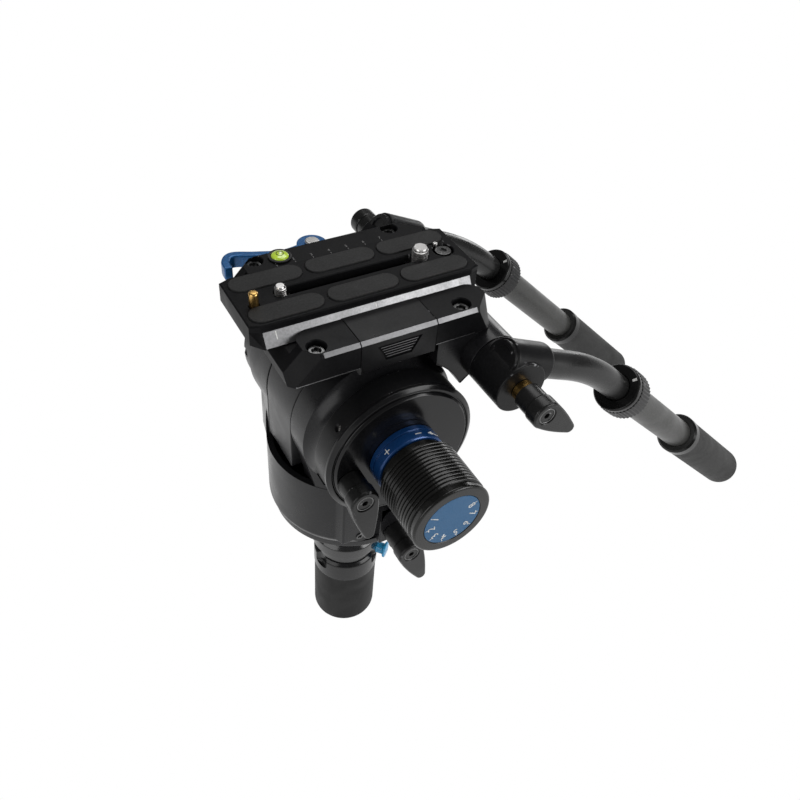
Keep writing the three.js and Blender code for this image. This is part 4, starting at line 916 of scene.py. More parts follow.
DARK_STEEL = Finish("dark_steel", "steel", (0.1, 0.1, 0.1), metallic=1.0, roughness=0.24,
                    worn=(0.5, 0.5, 0.5), grain_height=0.002, wear=0.3, dust=0.05)
BRASS = Finish("turned_brass", "brass", (0.5, 0.31, 0.1), metallic=1.0, roughness=0.26,
               worn=(0.7, 0.5, 0.25), grain_height=0.002, wear=0.4, dust=0.05)
GRIP_RUBBER = Finish("grip_rubber", "rubber", (0.024, 0.024, 0.0235), roughness=0.6, specular=0.25,
                     worn=(0.08, 0.08, 0.08), grains=2.4, grain_height=0.03, wear=0.2, dust=0.25)
TIE_RUBBER = Finish("tie_down_rubber", "rubber", (0.008, 0.008, 0.008), roughness=0.55, specular=0.2,
                    worn=(0.03, 0.03, 0.03), grains=2.4, grain_height=0.03, wear=0.2, dust=0.15)
PAD_RUBBER = Finish("pad_rubber", "rubber", (0.018, 0.018, 0.018), roughness=0.6, specular=0.2,
                    worn=(0.045, 0.045, 0.045), grain_height=0.008, wear=0.1, dust=0.15,
                    relief=Relief.DIAMONDS, relief_height=0.05)
MARK_WHITE = Finish("mark_white", "pale_blue", (0.62, 0.62, 0.6), roughness=0.55, grain_height=0.002,
                    wear=0.0)
MARK_GREY = Finish("mark_grey", "steel", (0.16, 0.16, 0.16), roughness=0.5, grain_height=0.002, wear=0.0)
# The level's liquid and bubble both carry a painted glow from a faint emission of their colour.
VIAL_LIQUID = ClearLiquid("vial_liquid", "vial", (0.5, 0.7, 0.05), roughness=0.08, unevenness=0.04,
                          coat=1.0, grain_height=0.0005, grains=0.4)
VIAL_BEAD = ClearLiquid("vial_bead", "vial", (0.8, 0.9, 0.5), roughness=0.05, unevenness=0.03, coat=1.0,
                        grain_height=0.0005, grains=0.4)
VIAL_RING = Finish("vial_ring", "charcoal", (0.01, 0.012, 0.005), roughness=0.3, grain_height=0.001,
                   wear=0.0)


class Bench:
    """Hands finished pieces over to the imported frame."""

    def __init__(self, frame: dict) -> None:
        """Reads which body each node rides on.
        """
        self.nodes = frame["nodes"]
        bodies = frame["record"]["behaviour"]["bodies"]
        self.home = {node: body for body, members in bodies.items() for node in members}
        self.effects = Effects()

    def fit(self, shape: Shape, finish: Finish, *nodes: str, corner: float = 32) -> Object:
        """Puts a piece in the place of the nodes it stands for.

        Args:
            shape: The piece's shape.
            finish: Its finish.
            nodes: The nodes, the first of which gives its name and body.
            corner: Corners that turn more than this stay sharp.

        Returns:
            The piece.
        """
        piece = self.add(shape, finish, f"{nodes[0]}_piece", nodes[0], corner)
        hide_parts(*nodes)
        return piece

    def add(self, shape: Shape, finish: Finish, name: str, carrier: str,
            corner: float = 32) -> Object:
        """Adds a trim piece on the body that carries a node.

        Args:
            shape: The piece's shape.
            finish: Its finish.
            name: The piece's name.
            carrier: The node that it sits on.
            corner: Corners that turn more than this stay sharp.

        Returns:
            The piece.
        """
        piece = finished(shape, name, corner)
        piece.data.materials.append(finish.material(self.effects))
        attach(piece, self.home[carrier])
        log.info("%s: %d faces", name, len(piece.data.polygons))
        return piece

    def keep(self, finish: Finish, *names: str) -> None:
        """Gives nodes whose shape stays as it is a better finish.

        Args:
            finish: The finish.
            names: The nodes.
        """
        for name in names:
            mesh = self.nodes[name].data
            mesh.materials.clear()
            mesh.materials.append(finish.material(self.effects))
            log.info("%s kept", name)


SECTION = Matrix(((0, 0, 1, 0), (1, 0, 0, 0), (0, 1, 0, 0), (0, 0, 0, 1)))


def across(outline: Sequence[Point], low: float, high: float) -> Shape:
    """An outline in X and Z drawn across the head between two places on Y."""
    return Shape.prism(outline, -high, -low, TURNS[Axis.NEAR])


def along(section: Sequence[Point], low: float, high: float) -> Shape:
    """A section in Y and Z drawn along the head between two places on X."""
    return Shape.prism(section, low, high, SECTION)


def towards(place: Place, direction: Place) -> Matrix:
    """A placing matrix, in metres, whose height points in any direction from a place in millimetres."""
    turn = Vector(direction).to_track_quat("Z", "Y").to_matrix().to_4x4()
    return Matrix.Translation(Vector(place) * MM) @ turn


def span(first: float, last: float) -> Point:
    """Two limits in rising order."""
    return (min(first, last), max(first, last))


def socket_screw(radius: float, height: float, key: float, place: Matrix) -> Shape:
    """The head of a socket screw, its foot at height zero.

    Args:
        radius: The head's radius.
        height: The head's height.
        key: The key hole's radius, corner to centre.
        place: Where the head goes.

    Returns:
        The head.
    """
    floor_share, lip_share = 0.4, 0.14
    floor = height * floor_share
    well = Shape.prism(hexagon(key), floor, height + 1, place)
    mouth = hole(key, floor, height, place, key * lip_share, SMALL)
    return Shape.rod(radius, 0, height, 0.4, place, SMALL).cut(well, mouth)


@dataclass
class Thread:
    """A bar with the ridges of a screw thread."""

    radius: float
    low: float
    high: float
    pitch: float = 1.5
    tip: float = 0.8
    depth_share: float = 0.4
    crest_shares: Point = (0.3, 0.72)
    foot_shares: Point = (0.1, 0.92)

    def shape(self, place: Matrix = HERE) -> Shape:
        """The bar with its ridges.

        Args:
            place: Where it goes.

        Returns:
            The bar.
        """
        root = self.radius - self.pitch * self.depth_share
        (rising, falling), (first, last) = self.crest_shares, self.foot_shares
        ridge = ((first, root), (rising, self.radius), (falling, self.radius), (last, root))
        profile = [(0, self.low), (root - self.tip / 2, self.low), (root, self.low + self.tip)]
        for i in range(int((self.high - self.low - 2 * self.tip) / self.pitch)):
            foot = self.low + self.tip + i * self.pitch
            profile += [(r, foot + share * self.pitch) for share, r in ridge]
        profile += [(root, self.high - self.tip), (root - self.tip / 2, self.high), (0, self.high)]
        return Shape.turned(profile, place, SMALL)


@dataclass
class TripodSeat:
    """The half ball and ring that stay on the tripod, and the stud that the tie-down runs on."""

    ball: float = 37.5
    ball_top: float = 1.2
    ball_edge: float = 0.5
    rim: float = 3
    depth: float = 31
    bore: float = 5.3
    bore_floor: float = 5
    ring: Outline = ((10.3, 1.5), (37.8, 1.5), (37.8, 0), (50, 0), (51.6, 1.6), (52, 7), (10.3, 7),
                     (10.3, 1.5))
    shaft: Outline = ((0, 1.5), (10, 1.5), (10, 7.3), (16, 7.3), (16, 10.3), (10, 10.3), (10, 37.9),
                      (0, 37.9))
    stud: Thread = field(default_factory=lambda: Thread(5, -119.6, -5.3))

    def build(self, bench: Bench) -> None:
        """Builds its pieces."""
        first, last = (math.degrees(math.asin(h / self.ball)) for h in (self.rim, self.depth))
        edge = self.ball_edge
        profile = [(0, self.ball_top), (self.ball - edge, self.ball_top), (self.ball, self.ball_top - edge)]
        profile += arc((0, 0), self.ball, -first, -last, 40) + [(0, -self.depth)]
        bore = hole(self.bore, self.bore_floor, self.depth, at((0, 0, 0), Axis.DOWN))
        bench.fit(Shape.turned(profile, steps=FINE).cut(bore), BALL, "half_ball")
        bench.fit(lathed(self.ring, 0.5, steps=FINE), HOUSING, "base_ring")
        bench.fit(self.stud.shape(), STEEL, "tie_down_stud")
        bench.fit(lathed(self.shaft, 0.4, steps=64), STEEL, "pan_shaft")


@dataclass
class TieDown:
    """The cup, release button, collar and grip that draw the ball into its bowl."""

    bore: float = 5.3
    cup: Outline = ((5.3, -38), (22.5, -38), (25.5, -41), (25.5, -50), (21.5, -50), (21.5, -60), (5.3, -60),
                    (5.3, -38))
    cup_waist: float = 21.5
    collar: Outline = ((5.3, -60.3), (21.5, -60.3), (24, -62.8), (24, -79.3), (5.3, -79.3), (5.3, -60.3))
    scallop_radius: float = 9
    scallop_reach: float = 29.8
    scallop_foot: float = -71.3
    scallops: int = 3
    grip: float = 23.5
    grip_top: float = -79.6
    grip_bottom: float = -135.6
    grip_floor: float = -125.9
    rounding: float = 5
    angle: float = -48
    button_height: float = -56.4
    stem: float = 2.6
    well_floor: float = 13.7
    button: Outline = ((0, 17.2), (2.6, 17.2), (2.6, 24.6), (4.2, 24.6), (4.2, 30.2), (5.9, 30.8),
                       (6.1, 31.4), (6.1, 32.3), (0, 33.4))

    def build(self, bench: Bench) -> None:
        """Builds its pieces."""
        turn = math.radians(self.angle)
        out = towards((0, 0, self.button_height), (math.cos(turn), math.sin(turn), 0))
        well = hole(self.stem + GAP, self.well_floor, self.cup_waist, out, 0.5)
        bench.fit(lathed(self.cup, 0.7, steps=FINE).cut(well), POLISHED_UP, "tie_down_cup")
        bench.fit(lathed(self.button, 0.8, out, 48, 4), BUTTON_BLUE, "tie_down_button")
        self.turning_grip(bench)

    def turning_grip(self, bench: Bench) -> None:
        """Builds the collar with its thumb scallops and the grip below it."""
        collar = lathed(self.collar, 0.9, steps=FINE)
        for i in range(self.scallops):
            turn = math.radians(self.angle + i * 360 / self.scallops)
            spot = (self.scallop_reach * math.cos(turn), self.scallop_reach * math.sin(turn), 0)
            collar.cut(Shape.rod(self.scallop_radius, self.scallop_foot, 0, 3, at(spot), FINE, 6))
        bench.fit(collar, COLLAR_BLACK, "tie_down_collar")
        end = self.grip_bottom + self.rounding
        profile = [(self.bore, self.grip_top), (self.grip, self.grip_top)]
        profile += arc((self.grip - self.rounding, end), self.rounding, 0, -90, 8)
        profile += [(0, self.grip_bottom), (0, self.grip_floor), (self.bore, self.grip_floor),
                    (self.bore, self.grip_top)]
        bench.fit(Shape.turned(profile, steps=ROUND), TIE_RUBBER, "tie_down_grip")


@dataclass
class WingLever:
    """A wing lever: a leaf-shaped blade on a round stem, with a key hole in a round cap."""

    hub: float = 9
    tip: float = 3.5
    stem: float = 8.2
    thickness: float = 9.5
    scoop: float = -1.8
    bulge: float = 1.4
    cap: float = 5.6
    cap_depth: float = 0.8
    key: float = 2
    key_depth: float = 1.6
    rounding: float = 1.5
    bead: Point = (1.1, 0.35)
    bead_drop: float = 0.3

    def outline(self, reach: float) -> list[Point]:
        """The blade's outline with its tip along X.

        Args:
            reach: How far the tip's centre is from the hub's.

        Returns:
            The outline.
        """
        spread = math.acos((self.hub - self.tip) / reach)
        slant = math.degrees(spread)
        waist = (self.hub + self.tip) / 2
        tip_side = (reach + self.tip * math.cos(spread), self.tip * math.sin(spread))
        hub_side = (self.hub * math.cos(spread), self.hub * math.sin(spread))
        points = arc((0, 0), self.hub, slant, 360 - slant, 40)
        points += sweep(points[-1], (reach / 2, self.scoop - waist), (tip_side[0], -tip_side[1]), 20)[1:]
        points += arc((reach, 0), self.tip, -slant, slant, 16)[1:]
        return points + sweep(tip_side, (reach / 2, waist + self.bulge), hub_side, 20)[1:-1]

    def shape(self, place: Place, side: Side, angle: float, reach: float, length: float) -> Shape:
        """The lever standing on a face.

        Args:
            place: The centre of the face it stands on.
            side: The side it looks to.
            angle: How far its tip hangs below the rear, in degrees.
            reach: How far the tip's centre is from the hub's.
            length: Length of the stem between face and blade.

        Returns:
            The lever.
        """
        stand = at(place, side.outward)
        lean = Matrix.Rotation(math.radians(side.value * angle), 4, "Z")
        flip = Matrix.Diagonal((1, -side.value, 1, 1))
        face = length + self.thickness
        blade = Shape.prism(self.outline(reach), length, face).softened(self.rounding, 4)
        blade.moved(stand @ lean @ flip)
        stem = Shape.rod(self.stem, 0, length + self.thickness / 2, 0.6, stand, 64)
        floor = face - self.cap_depth
        key = Shape.prism(hexagon(self.key), floor - self.key_depth, face + OVERRUN, stand)
        return blade.joined(stem).cut(hole(self.cap, floor, face, stand, 0.4), key)

    def rim(self, place: Place, side: Side, length: float) -> Shape:
        """The bright bead round the cap of a lever."""
        level = length + self.thickness - self.cap_depth
        inner, outer = (self.cap - inset for inset in self.bead)
        low, high = level - self.bead_drop, level + self.bead[1]
        bead = [(inner, low), (outer, low), (outer, high), (inner, high), (inner, low)]
        return lathed(bead, 0.25, at(place, side.outward), 64)


@dataclass
class PanBody:
    """The pan housing: a shroud with a flat near face, a lock boss and the two arms that carry the tilt."""

    radius: float = 54.5
    inner: float = 50.5
    foot: float = 7.3
    foot_bevel: float = 4.7
    foot_inset: float = 2
    floor: float = 24
    rim: float = 60
    rim_dip: float = 0.7
    far_rise: float = 25
    rise_run: float = 18
    flat: float = 50
    flat_half: float = 29
    flat_lean: float = 3.5
    flat_low: float = 11
    flat_high: float = 52
    boss_x: float = 5
    boss_z: float = 16.5
    boss_half: float = 11
    boss_rise: float = 21
    boss_face: float = 57
    wall: float = 4
    arm: float = 49.5
    arm_inner: float = 17.9
    arm_outer: float = 45.9
    arm_root: float = 28
    root_inset: float = 0.3
    root_out: float = 43
    near_sides: Outline = ((38, 24.5), (41.8, 62), (46.6, 85))
    web_inset: float = 0.2
    web_margin: float = 9
    root_waist: float = 44
    root_foot: float = 24.5
    ring_space: float = 48.1
    waist: float = 14
    waist_depth: float = 4.6
    pocket: float = 16.8
    pocket_floor: float = 33.6
    seat: float = 17.8
    seat_top: float = 21.2
    spindle: float = 4.3
    spindle_floor: float = 23.7
    screw: Place = (2.6, 1.4, 1.3)
    screw_place: Place = (-17, -49.3, 14)

    def build(self, bench: Bench) -> None:
        """Builds the housing with its screw head and dresses the pieces hidden in it."""
        body = self.shroud().joined(self.arm_shape(Side.NEAR), self.arm_shape(Side.FAR), self.lock_boss())
        body.cut(Shape.ring(0, SHAFT_HOLE, self.foot - 1, self.floor + 1, steps=48))
        body.cut(Shape.ring(0, self.seat, -self.seat_top, 1 - self.foot, at((0, 0, 0), Axis.DOWN), 48))
        through = self.arm_outer + 1
        body.cut(Shape.ring(0, SHAFT_HOLE, -through, through, at(TILT_AXIS, Axis.FAR), 64))
        spindle = at((self.boss_x, 0, self.boss_z), Axis.NEAR)
        body.cut(hole(self.spindle, self.spindle_floor, self.boss_face, spindle))
        bench.fit(body, HOUSING, "pan_housing")
        bench.keep(STEEL, "pan_bearing", "tilt_bearing_near", "tilt_bearing_far")
        bench.keep(CHARCOAL, "pan_cartridge", "drag_cartridge")
        head = socket_screw(*self.screw, at(self.screw_place, Axis.NEAR))
        bench.add(head, DARK_STEEL, "housing_screw", "pan_housing")

    def shroud(self) -> Shape:
        """The round wall with its floor, cut away above the rim, on the near side and beside the rings."""
        top = self.rim + self.far_rise
        profile = eased([(0, self.foot), (self.radius - self.foot_inset, self.foot),
                         (self.radius, self.foot + self.foot_bevel), (self.radius, top), (0, top)], 1.2)
        body = Shape.turned(profile, steps=FINE)
        body.cut(Shape.ring(0, self.inner, self.floor, top + OVERRUN, steps=FINE))
        body.cut(self.rim_space()).joined(self.flat_face())
        far = self.radius + OVERRUN
        body.cut(Shape.box((-far, far), (-far, -self.flat), (self.foot - 1, self.rim)))
        for side in Side:
            body.cut(Shape.ring(0, self.ring_space, self.arm_outer, far, at(TILT_AXIS, side.outward), FINE))
        return body

    def rim_space(self) -> Shape:
        """What is cut away over the rim, low in front and rising beside the far arm."""
        far, top = self.radius + OVERRUN, self.rim + self.far_rise + OVERRUN
        low = self.rim - self.rim_dip
        rise = sweep((-far, self.rim + self.rim_dip), (-self.arm_inner, low), (0, low), 20)
        outline = [(-far, top)] + rise + [(self.arm_inner, low), (self.arm_inner + self.rise_run, top)]
        return along(outline, -far, far).joined(Shape.box((0, far), (-far, far), (low, top)))

    def flat_face(self) -> Shape:
        """The flat that stands out of the shroud on the near side."""
        back, lean = self.wall - self.arm_outer, self.flat_half + self.flat_lean
        plan = [(-lean, back), (-self.flat_half, -self.flat), (self.flat_half, -self.flat), (lean, back)]
        return Shape.prism(plan, self.flat_low, self.flat_high).softened(1.2, 3)

    def lock_boss(self) -> Shape:
        """The upright boss that the pan lock stands on."""
        centre = (self.boss_x, self.foot + self.boss_rise)
        outline = [(self.boss_x - self.boss_half, self.foot), (self.boss_x + self.boss_half, self.foot)]
        outline += arc(centre, self.boss_half, 0, 180, 24)
        return across(outline, -self.boss_face, self.wall - self.flat).softened(0.9, 3)

    def arm_shape(self, side: Side) -> Shape:
        """One arm: a disc on a broad root, the near one waisted beside the ring that it carries.

        Args:
            side: The arm's side.

        Returns:
            The arm.
        """
        stand = at(TILT_AXIS, side.outward)
        disc = Shape.rod(self.arm, self.arm_inner, self.arm_outer, 0.8, stand, FINE)
        pocket = hole(self.pocket, self.pocket_floor, self.arm_outer, stand)
        if side is Side.FAR:
            return disc.joined(self.far_root()).cut(pocket)
        foot = Shape.box((-self.arm_root, self.arm_root), (-self.arm_outer, -self.arm_inner),
                         (self.floor - GAP, TILT_HEIGHT))
        reach = self.arm + self.waist - self.waist_depth
        ring = Shape.turned(arc((reach, self.arm_outer), self.waist, 0, 360, 48), stand, FINE)
        kept = Shape.box((-FAR_AWAY, FAR_AWAY), (-FAR_AWAY, FAR_AWAY), (0, TILT_HEIGHT - self.arm_root))
        return disc.joined(self.near_root(), foot).cut(ring.cut(kept), pocket)

    def far_root(self) -> Shape:
        """The broad root of the far arm: its front stands over the shroud's rim, its rear clears the arch."""
        half = self.arm - self.root_inset
        top = (TILT_HEIGHT, half, self.root_out)
        front = ((self.root_foot, self.arm_root, self.arm_root), (self.root_waist, half, self.root_out), top)
        rear = [(z, width, min(width, self.root_out)) for width, z in self.near_sides] + [top]
        points = [(sign * width, y, z)
                  for sign, levels in ((-1, front), (1, rear)) for z, inner, outer in levels
                  for width, y in ((inner, self.arm_inner), (outer, self.arm_outer))]
        return Shape.hull(points).softened(0.8, 3)

    def near_root(self) -> Shape:
        """The broad root of the near arm, which keeps inside the shroud's round."""
        outline = [(sign * half, z) for sign in (-1, 1) for half, z in self.near_sides[::sign]]
        web = across(outline, -self.arm_outer, -self.arm_inner)
        low, high = self.floor - self.web_margin, TILT_HEIGHT + self.web_margin
        return web.cut(Shape.ring(self.radius - self.web_inset, FAR_AWAY, low, high, steps=FINE))


@dataclass
class TiltDrag:
    """Everything outward of the near arm: drag ring, polished cover, blue collar and the grooved knob."""

    ring: float = 47.2
    back: float = 46.2
    front: float = 60.2
    cavity: float = 40
    cavity_foot: float = 49.2
    screw_angle: float = 143
    screw_inset: float = 4.5
    screw_hole: float = 1.9
    screw_levels: Place = (4.9, 3.2, 1.6)
    cover: Outline = ((8.3, 60.5), (47.8, 60.5), (47.8, 62.4), (45.4, 63.8), (44.5, 63.8), (44.5, 63),
                      (43.6, 63), (43.6, 63.8), (42.4, 65.2), (8.3, 65.2), (8.3, 60.5))
    spindle: float = 3.8
    spindle_place: Place = (-34, 0, 93)
    collar: Outline = ((8.3, 65.5), (21.8, 65.5), (21.8, 68.9), (21, 68.9), (21, 69.8), (21.8, 69.8),
                       (21.8, 75.3), (21, 76.1), (8.3, 76.1), (8.3, 65.5))
    sign_level: float = 72.55
    sign: Point = (1.9, 0.22)
    sign_depth: Point = (0, 0.3)
    sign_base: float = 21.68
    sign_lift: float = 0.15
    arrow: Outline = ((4.5, 0.35), (-1.5, 0.35), (-1.5, 1.2), (-4.5, 0), (-1.5, -1.2), (-1.5, -0.35),
                      (4.5, -0.35))
    knob: float = 24.3
    valley: float = 23.4
    grooves: int = 13
    groove_start: float = 82.4
    pitch: float = 2.45
    groove_shares: Outline = ((0.06, 0.35), (0.16, 0), (0.62, 0), (0.74, 0.35), (0.84, 1), (0.92, 1))
    knob_back: float = 76.4
    knob_face: float = 119.25
    neck: float = 20.6
    chamfer: float = 0.5
    flare: float = 0.6
    crown: float = 1.6
    well_lip: float = 0.3
    stem: float = 8
    stem_foot: float = 59.7
    disc: float = 17.5
    disc_depth: float = 1.4
    disc_sunk: float = 0.15
    marks: int = 8
    mark_start: float = 150
    mark_step: float = 34
    figure: Place = (6.4, 0.2, 4.6)
    tick: Place = (0.2, 1.9, 0.8)
    tick_lift: float = 0.1

    @property
    def stand(self) -> Matrix:
        """The tilt axis, heights running outward on the near side."""
        return at(TILT_AXIS, Axis.NEAR)

    def build(self, bench: Bench) -> None:
        """Builds its pieces."""
        self.drag_ring(bench)
        cover = lathed(self.cover, 0.35, self.stand, FINE)
        cover.cut(Shape.ring(0, self.spindle, self.front - 1, 70, at(self.spindle_place, Axis.NEAR), 32))
        bench.fit(cover, POLISHED, "tilt_cover")
        bench.fit(lathed(self.collar, 0.3, self.stand, FINE), BLUE, "drag_collar")
        self.collar_signs(bench)
        bench.fit(Shape.turned(self.knob_profile(), self.stand, FINE), KNOB_BLACK, "tilt_drag_knob")
        self.dial_disc(bench)

    def drag_ring(self, bench: Bench) -> None:
        """Builds the ring round the drag cartridge, with its set screw."""
        profile = [(SHAFT_HOLE, self.back), (self.ring, self.back), (self.ring, self.front),
                   (self.cavity, self.front), (self.cavity, self.cavity_foot), (SHAFT_HOLE, self.cavity_foot),
                   (SHAFT_HOLE, self.back)]
        body = lathed(profile, 0.8, self.stand, FINE)
        turn = math.radians(self.screw_angle)
        way = (math.cos(turn), 0, math.sin(turn))
        out = towards((0, self.screw_inset - self.front, TILT_HEIGHT), way)
        foot, well, face = (self.ring - depth for depth in self.screw_levels)
        body.cut(hole(self.screw_hole, foot - 0.1, self.ring, out, 0.5, SMALL))
        bench.fit(body, ANODISED, "drag_housing")
        grub = Shape.ring(0, self.screw_hole - 0.15, foot, face, out, SMALL)
        grub.cut(Shape.prism(hexagon(1), well, self.ring, out))
        bench.add(grub, STEEL, "drag_set_screw", "drag_housing")

    def collar_signs(self, bench: Bench) -> None:
        """Adds the white plus, minus and arrow that show which way the drag grows."""
        long, thin = ((-size, size) for size in self.sign)
        plus = [Shape.box(long, thin, self.sign_depth), Shape.box(thin, long, self.sign_depth)]
        minus = [Shape.box(long, thin, self.sign_depth)]
        arrow = [Shape.prism(self.arrow, *self.sign_depth)]
        signs = (("collar_sign_135", plus, 135), ("collar_sign_80", minus, 80), ("collar_arrow", arrow, 50))
        for name, shapes, turn in signs:
            bench.add(loose([self.wrapped(shape, turn) for shape in shapes]), MARK_WHITE, name, "drag_collar")

    def wrapped(self, sign: Shape, turn: float) -> Shape:
        """Wraps a flat sign round the collar.

        Args:
            sign: The sign, in its own XY plane.
            turn: Its place round the collar, in degrees.

        Returns:
            The wrapped sign.
        """
        base, lift, level = (length * MM for length in (self.sign_base, self.sign_lift, self.sign_level))

        def wrap(point: Vector) -> Vector:
            """Lays one corner on the collar."""
            angle = math.radians(turn) - point.x / base
            reach = base + point.z + lift
            return Vector((reach * math.cos(angle), reach * math.sin(angle), level + point.y))

        return sign.bent(wrap).mended().moved(self.stand)

    def knob_profile(self) -> list[Point]:
        """The knob's neck, rounded grooves and rounded face with its shallow well."""
        profile = [(0, self.stem_foot), (self.stem, self.stem_foot), (self.stem, self.knob_back),
                   (self.neck - self.chamfer, self.knob_back), (self.neck, self.knob_back + self.chamfer),
                   (self.neck, self.groove_start - self.flare), (self.neck + self.flare, self.groove_start),
                   (self.knob - self.chamfer, self.groove_start)]
        depth = self.knob - self.valley
        for i in range(self.grooves):
            foot = self.groove_start + i * self.pitch
            profile += [(self.knob - d * depth, foot + s * self.pitch) for s, d in self.groove_shares]
        profile += arc((self.knob - self.crown, self.knob_face - self.crown), self.crown, 0, 90, 6)
        lip, well = self.disc + GAP, self.knob_face - self.disc_depth
        profile += [(lip + self.well_lip, self.knob_face), (lip, self.knob_face - self.well_lip)]
        return profile + [(lip, well), (0, well)]

    def dial_disc(self, bench: Bench) -> None:
        """Adds the printed disc with its plain figures and ticks."""
        foot, top = self.knob_face - self.disc_depth + GAP, self.knob_face - self.disc_sunk
        bench.fit(Shape.rod(self.disc, foot, top, 0.25, self.stand, FINE), PALE_BLUE, "knob_inlay")
        size, depth, inset = self.figure
        half, first, last = self.tick
        marks = []
        for i in range(self.marks):
            turn = math.radians(self.mark_start + self.mark_step * i)
            spin = self.stand @ Matrix.Rotation(turn - math.pi / 2, 4, "Z")
            marks.append(Shape.words(str(i + 1), size, depth, spin @ at((0, self.disc - inset, top))))
            tick = Shape.box((-half, half), (self.disc - first, self.disc - last),
                             (top - self.tick_lift, top + self.tick_lift))
            marks.append(tick.moved(spin))
        bench.add(loose(marks), MARK_WHITE, "knob_disc_marks", "knob_inlay")


@dataclass
class Counterbalance:
    """The notched dial on the far side."""

    radius: float = 47.8
    profile: Outline = ((10.3, 46.2), (47.8, 46.2), (47.8, 59), (45.8, 61), (38, 61), (36, 59), (17, 59),
                        (15, 61), (0, 61), (0, 58.5), (10.3, 58.5), (10.3, 46.2))
    notches: int = 16
    notch: float = 3.4
    bite: float = 1.4
    notch_foot: float = 53.6
    figures: int = 8
    figure: Point = (8, 0.3)
    figure_place: Place = (0, 26.5, 58.98)

    def build(self, bench: Bench) -> None:
        """Builds the dial and its numbers."""
        stand = at(TILT_AXIS, Axis.FAR)
        body = lathed(self.profile, 0.6, stand, FINE)
        reach = self.radius + self.notch - self.bite
        for i in range(self.notches):
            turn = math.tau * i / self.notches
            spot = (reach * math.cos(turn), 0, TILT_HEIGHT + reach * math.sin(turn))
            body.cut(Shape.ring(0, self.notch, self.notch_foot, 70, at(spot, Axis.FAR), 32))
        bench.fit(body, ANODISED, "counterbalance_dial")
        spins = [stand @ Matrix.Rotation(math.tau * i / self.figures, 4, "Z") for i in range(self.figures)]
        figures = [Shape.words(str(i + 1), *self.figure, spin @ at(self.figure_place))
                   for i, spin in enumerate(spins)]
        bench.add(loose(figures), MARK_WHITE, "dial_figures", "counterbalance_dial")


@dataclass
class LockLever:
    """Where a lock's wing lever stands, how it hangs and the spindle behind it."""

    name: str
    place: Place
    angle: float
    reach: float
    length: float
    spindle: float
    depth: float
    wing: WingLever = field(default_factory=WingLever)

    def build(self, bench: Bench) -> None:
        """Builds the lever with its spindle and bright bead."""
        lever = self.wing.shape(self.place, Side.NEAR, self.angle, self.reach, self.length)
        lever.joined(Shape.rod(self.spindle, -self.depth, 0.5, 0.4, at(self.place, Axis.NEAR), 32))
        bench.fit(lever, LEVER_BLACK, self.name)
        bead = self.wing.rim(self.place, Side.NEAR, self.length)
        bench.add(bead, LEVER_CAP, f"{self.name}_bead", self.name)


@dataclass
class LockLevers:
    """The wing levers that lock pan and tilt."""

    tilt: LockLever = field(default_factory=lambda: LockLever(
        "tilt_lock_lever", (-34, -65.5, 93), angle=82, reach=30.5, length=9.5, spindle=3.5, depth=6))
    pan: LockLever = field(default_factory=lambda: LockLever(
        "pan_lock_lever", (5, -57.3, 16.5), angle=71, reach=30.5, length=13.2, spindle=4, depth=33))
    grub: Place = (2.1, 1, 1.1)
    grub_place: Place = (0.4, -63.3, 9.9)
    grub_way: Place = (-0.57, 0, -0.82)

    def build(self, bench: Bench) -> None:
        """Builds both levers and the pan lever's set screw."""
        self.tilt.build(bench)
        self.pan.build(bench)
        grub = socket_screw(*self.grub, towards(self.grub_place, self.grub_way))
        bench.add(grub, DARK_STEEL, "pan_lever_set_screw", "pan_lock_lever")


@dataclass
class TiltBlock:
    """The tilting body between the arms, its arch to the rear and the cross arm that carries the handles."""

    radius: float = 49.3
    half: float = 17.3
    neck: Point = (-40, 46)
    cheek: Point = (-49.3, -30)
    cheek_low: float = 64.2
    top: float = 159.5
    arch_half: float = 47.5
    arch: float = 52
    arch_front: float = 28
    arch_end: float = 24
    arm: float = 16.5
    arm_end: float = 56.7
    stud_hole: float = 6.5
    stud_floor: float = 45.7

    def build(self, bench: Bench) -> None:
        """Builds the body and dresses the shaft in it."""
        axis, width = at(TILT_AXIS, Axis.FAR), (-self.half, self.half)
        body = Shape.rod(self.radius, *width, 0.8, axis, FINE)
        neck = Shape.box(self.neck, width, (TILT_HEIGHT, self.top)).softened(0.8)
        cheek = Shape.box(self.cheek, width, (self.cheek_low, TILT_HEIGHT)).softened(0.8)
        body.joined(neck, cheek, self.rear_arch())
        cross_x, cross_z = CROSS_ARM
        bar = at((cross_x, 0, cross_z), Axis.FAR)
        body.joined(Shape.rod(self.arm, -self.arm_end, self.arm_end, 0.8, bar, ROUND))
        body.cut(Shape.ring(0, SHAFT_HOLE, -60, 60, axis, 64))
        for side in Side:
            stand = at((cross_x, 0, cross_z), side.outward)
            body.cut(hole(self.stud_hole, self.stud_floor, self.arm_end, stand))
        bench.fit(body, HOUSING, "tilt_block")
        bench.keep(STEEL, "tilt_shaft")

    def rear_arch(self) -> Shape:
        """The block over the arms, hollowed round the tilt axis and running back to the cross arm."""
        cross_x, cross_z = CROSS_ARM
        first = math.degrees(math.acos(self.arch_front / self.arch))
        outline = arc((0, TILT_HEIGHT), self.arch, first, self.arch_end, 40)
        outline += [(cross_x, cross_z - self.arm / 2), (cross_x, self.top), (self.arch_front, self.top)]
        return across(outline, -self.arch_half, self.arch_half).softened(0.5, 2, 40)


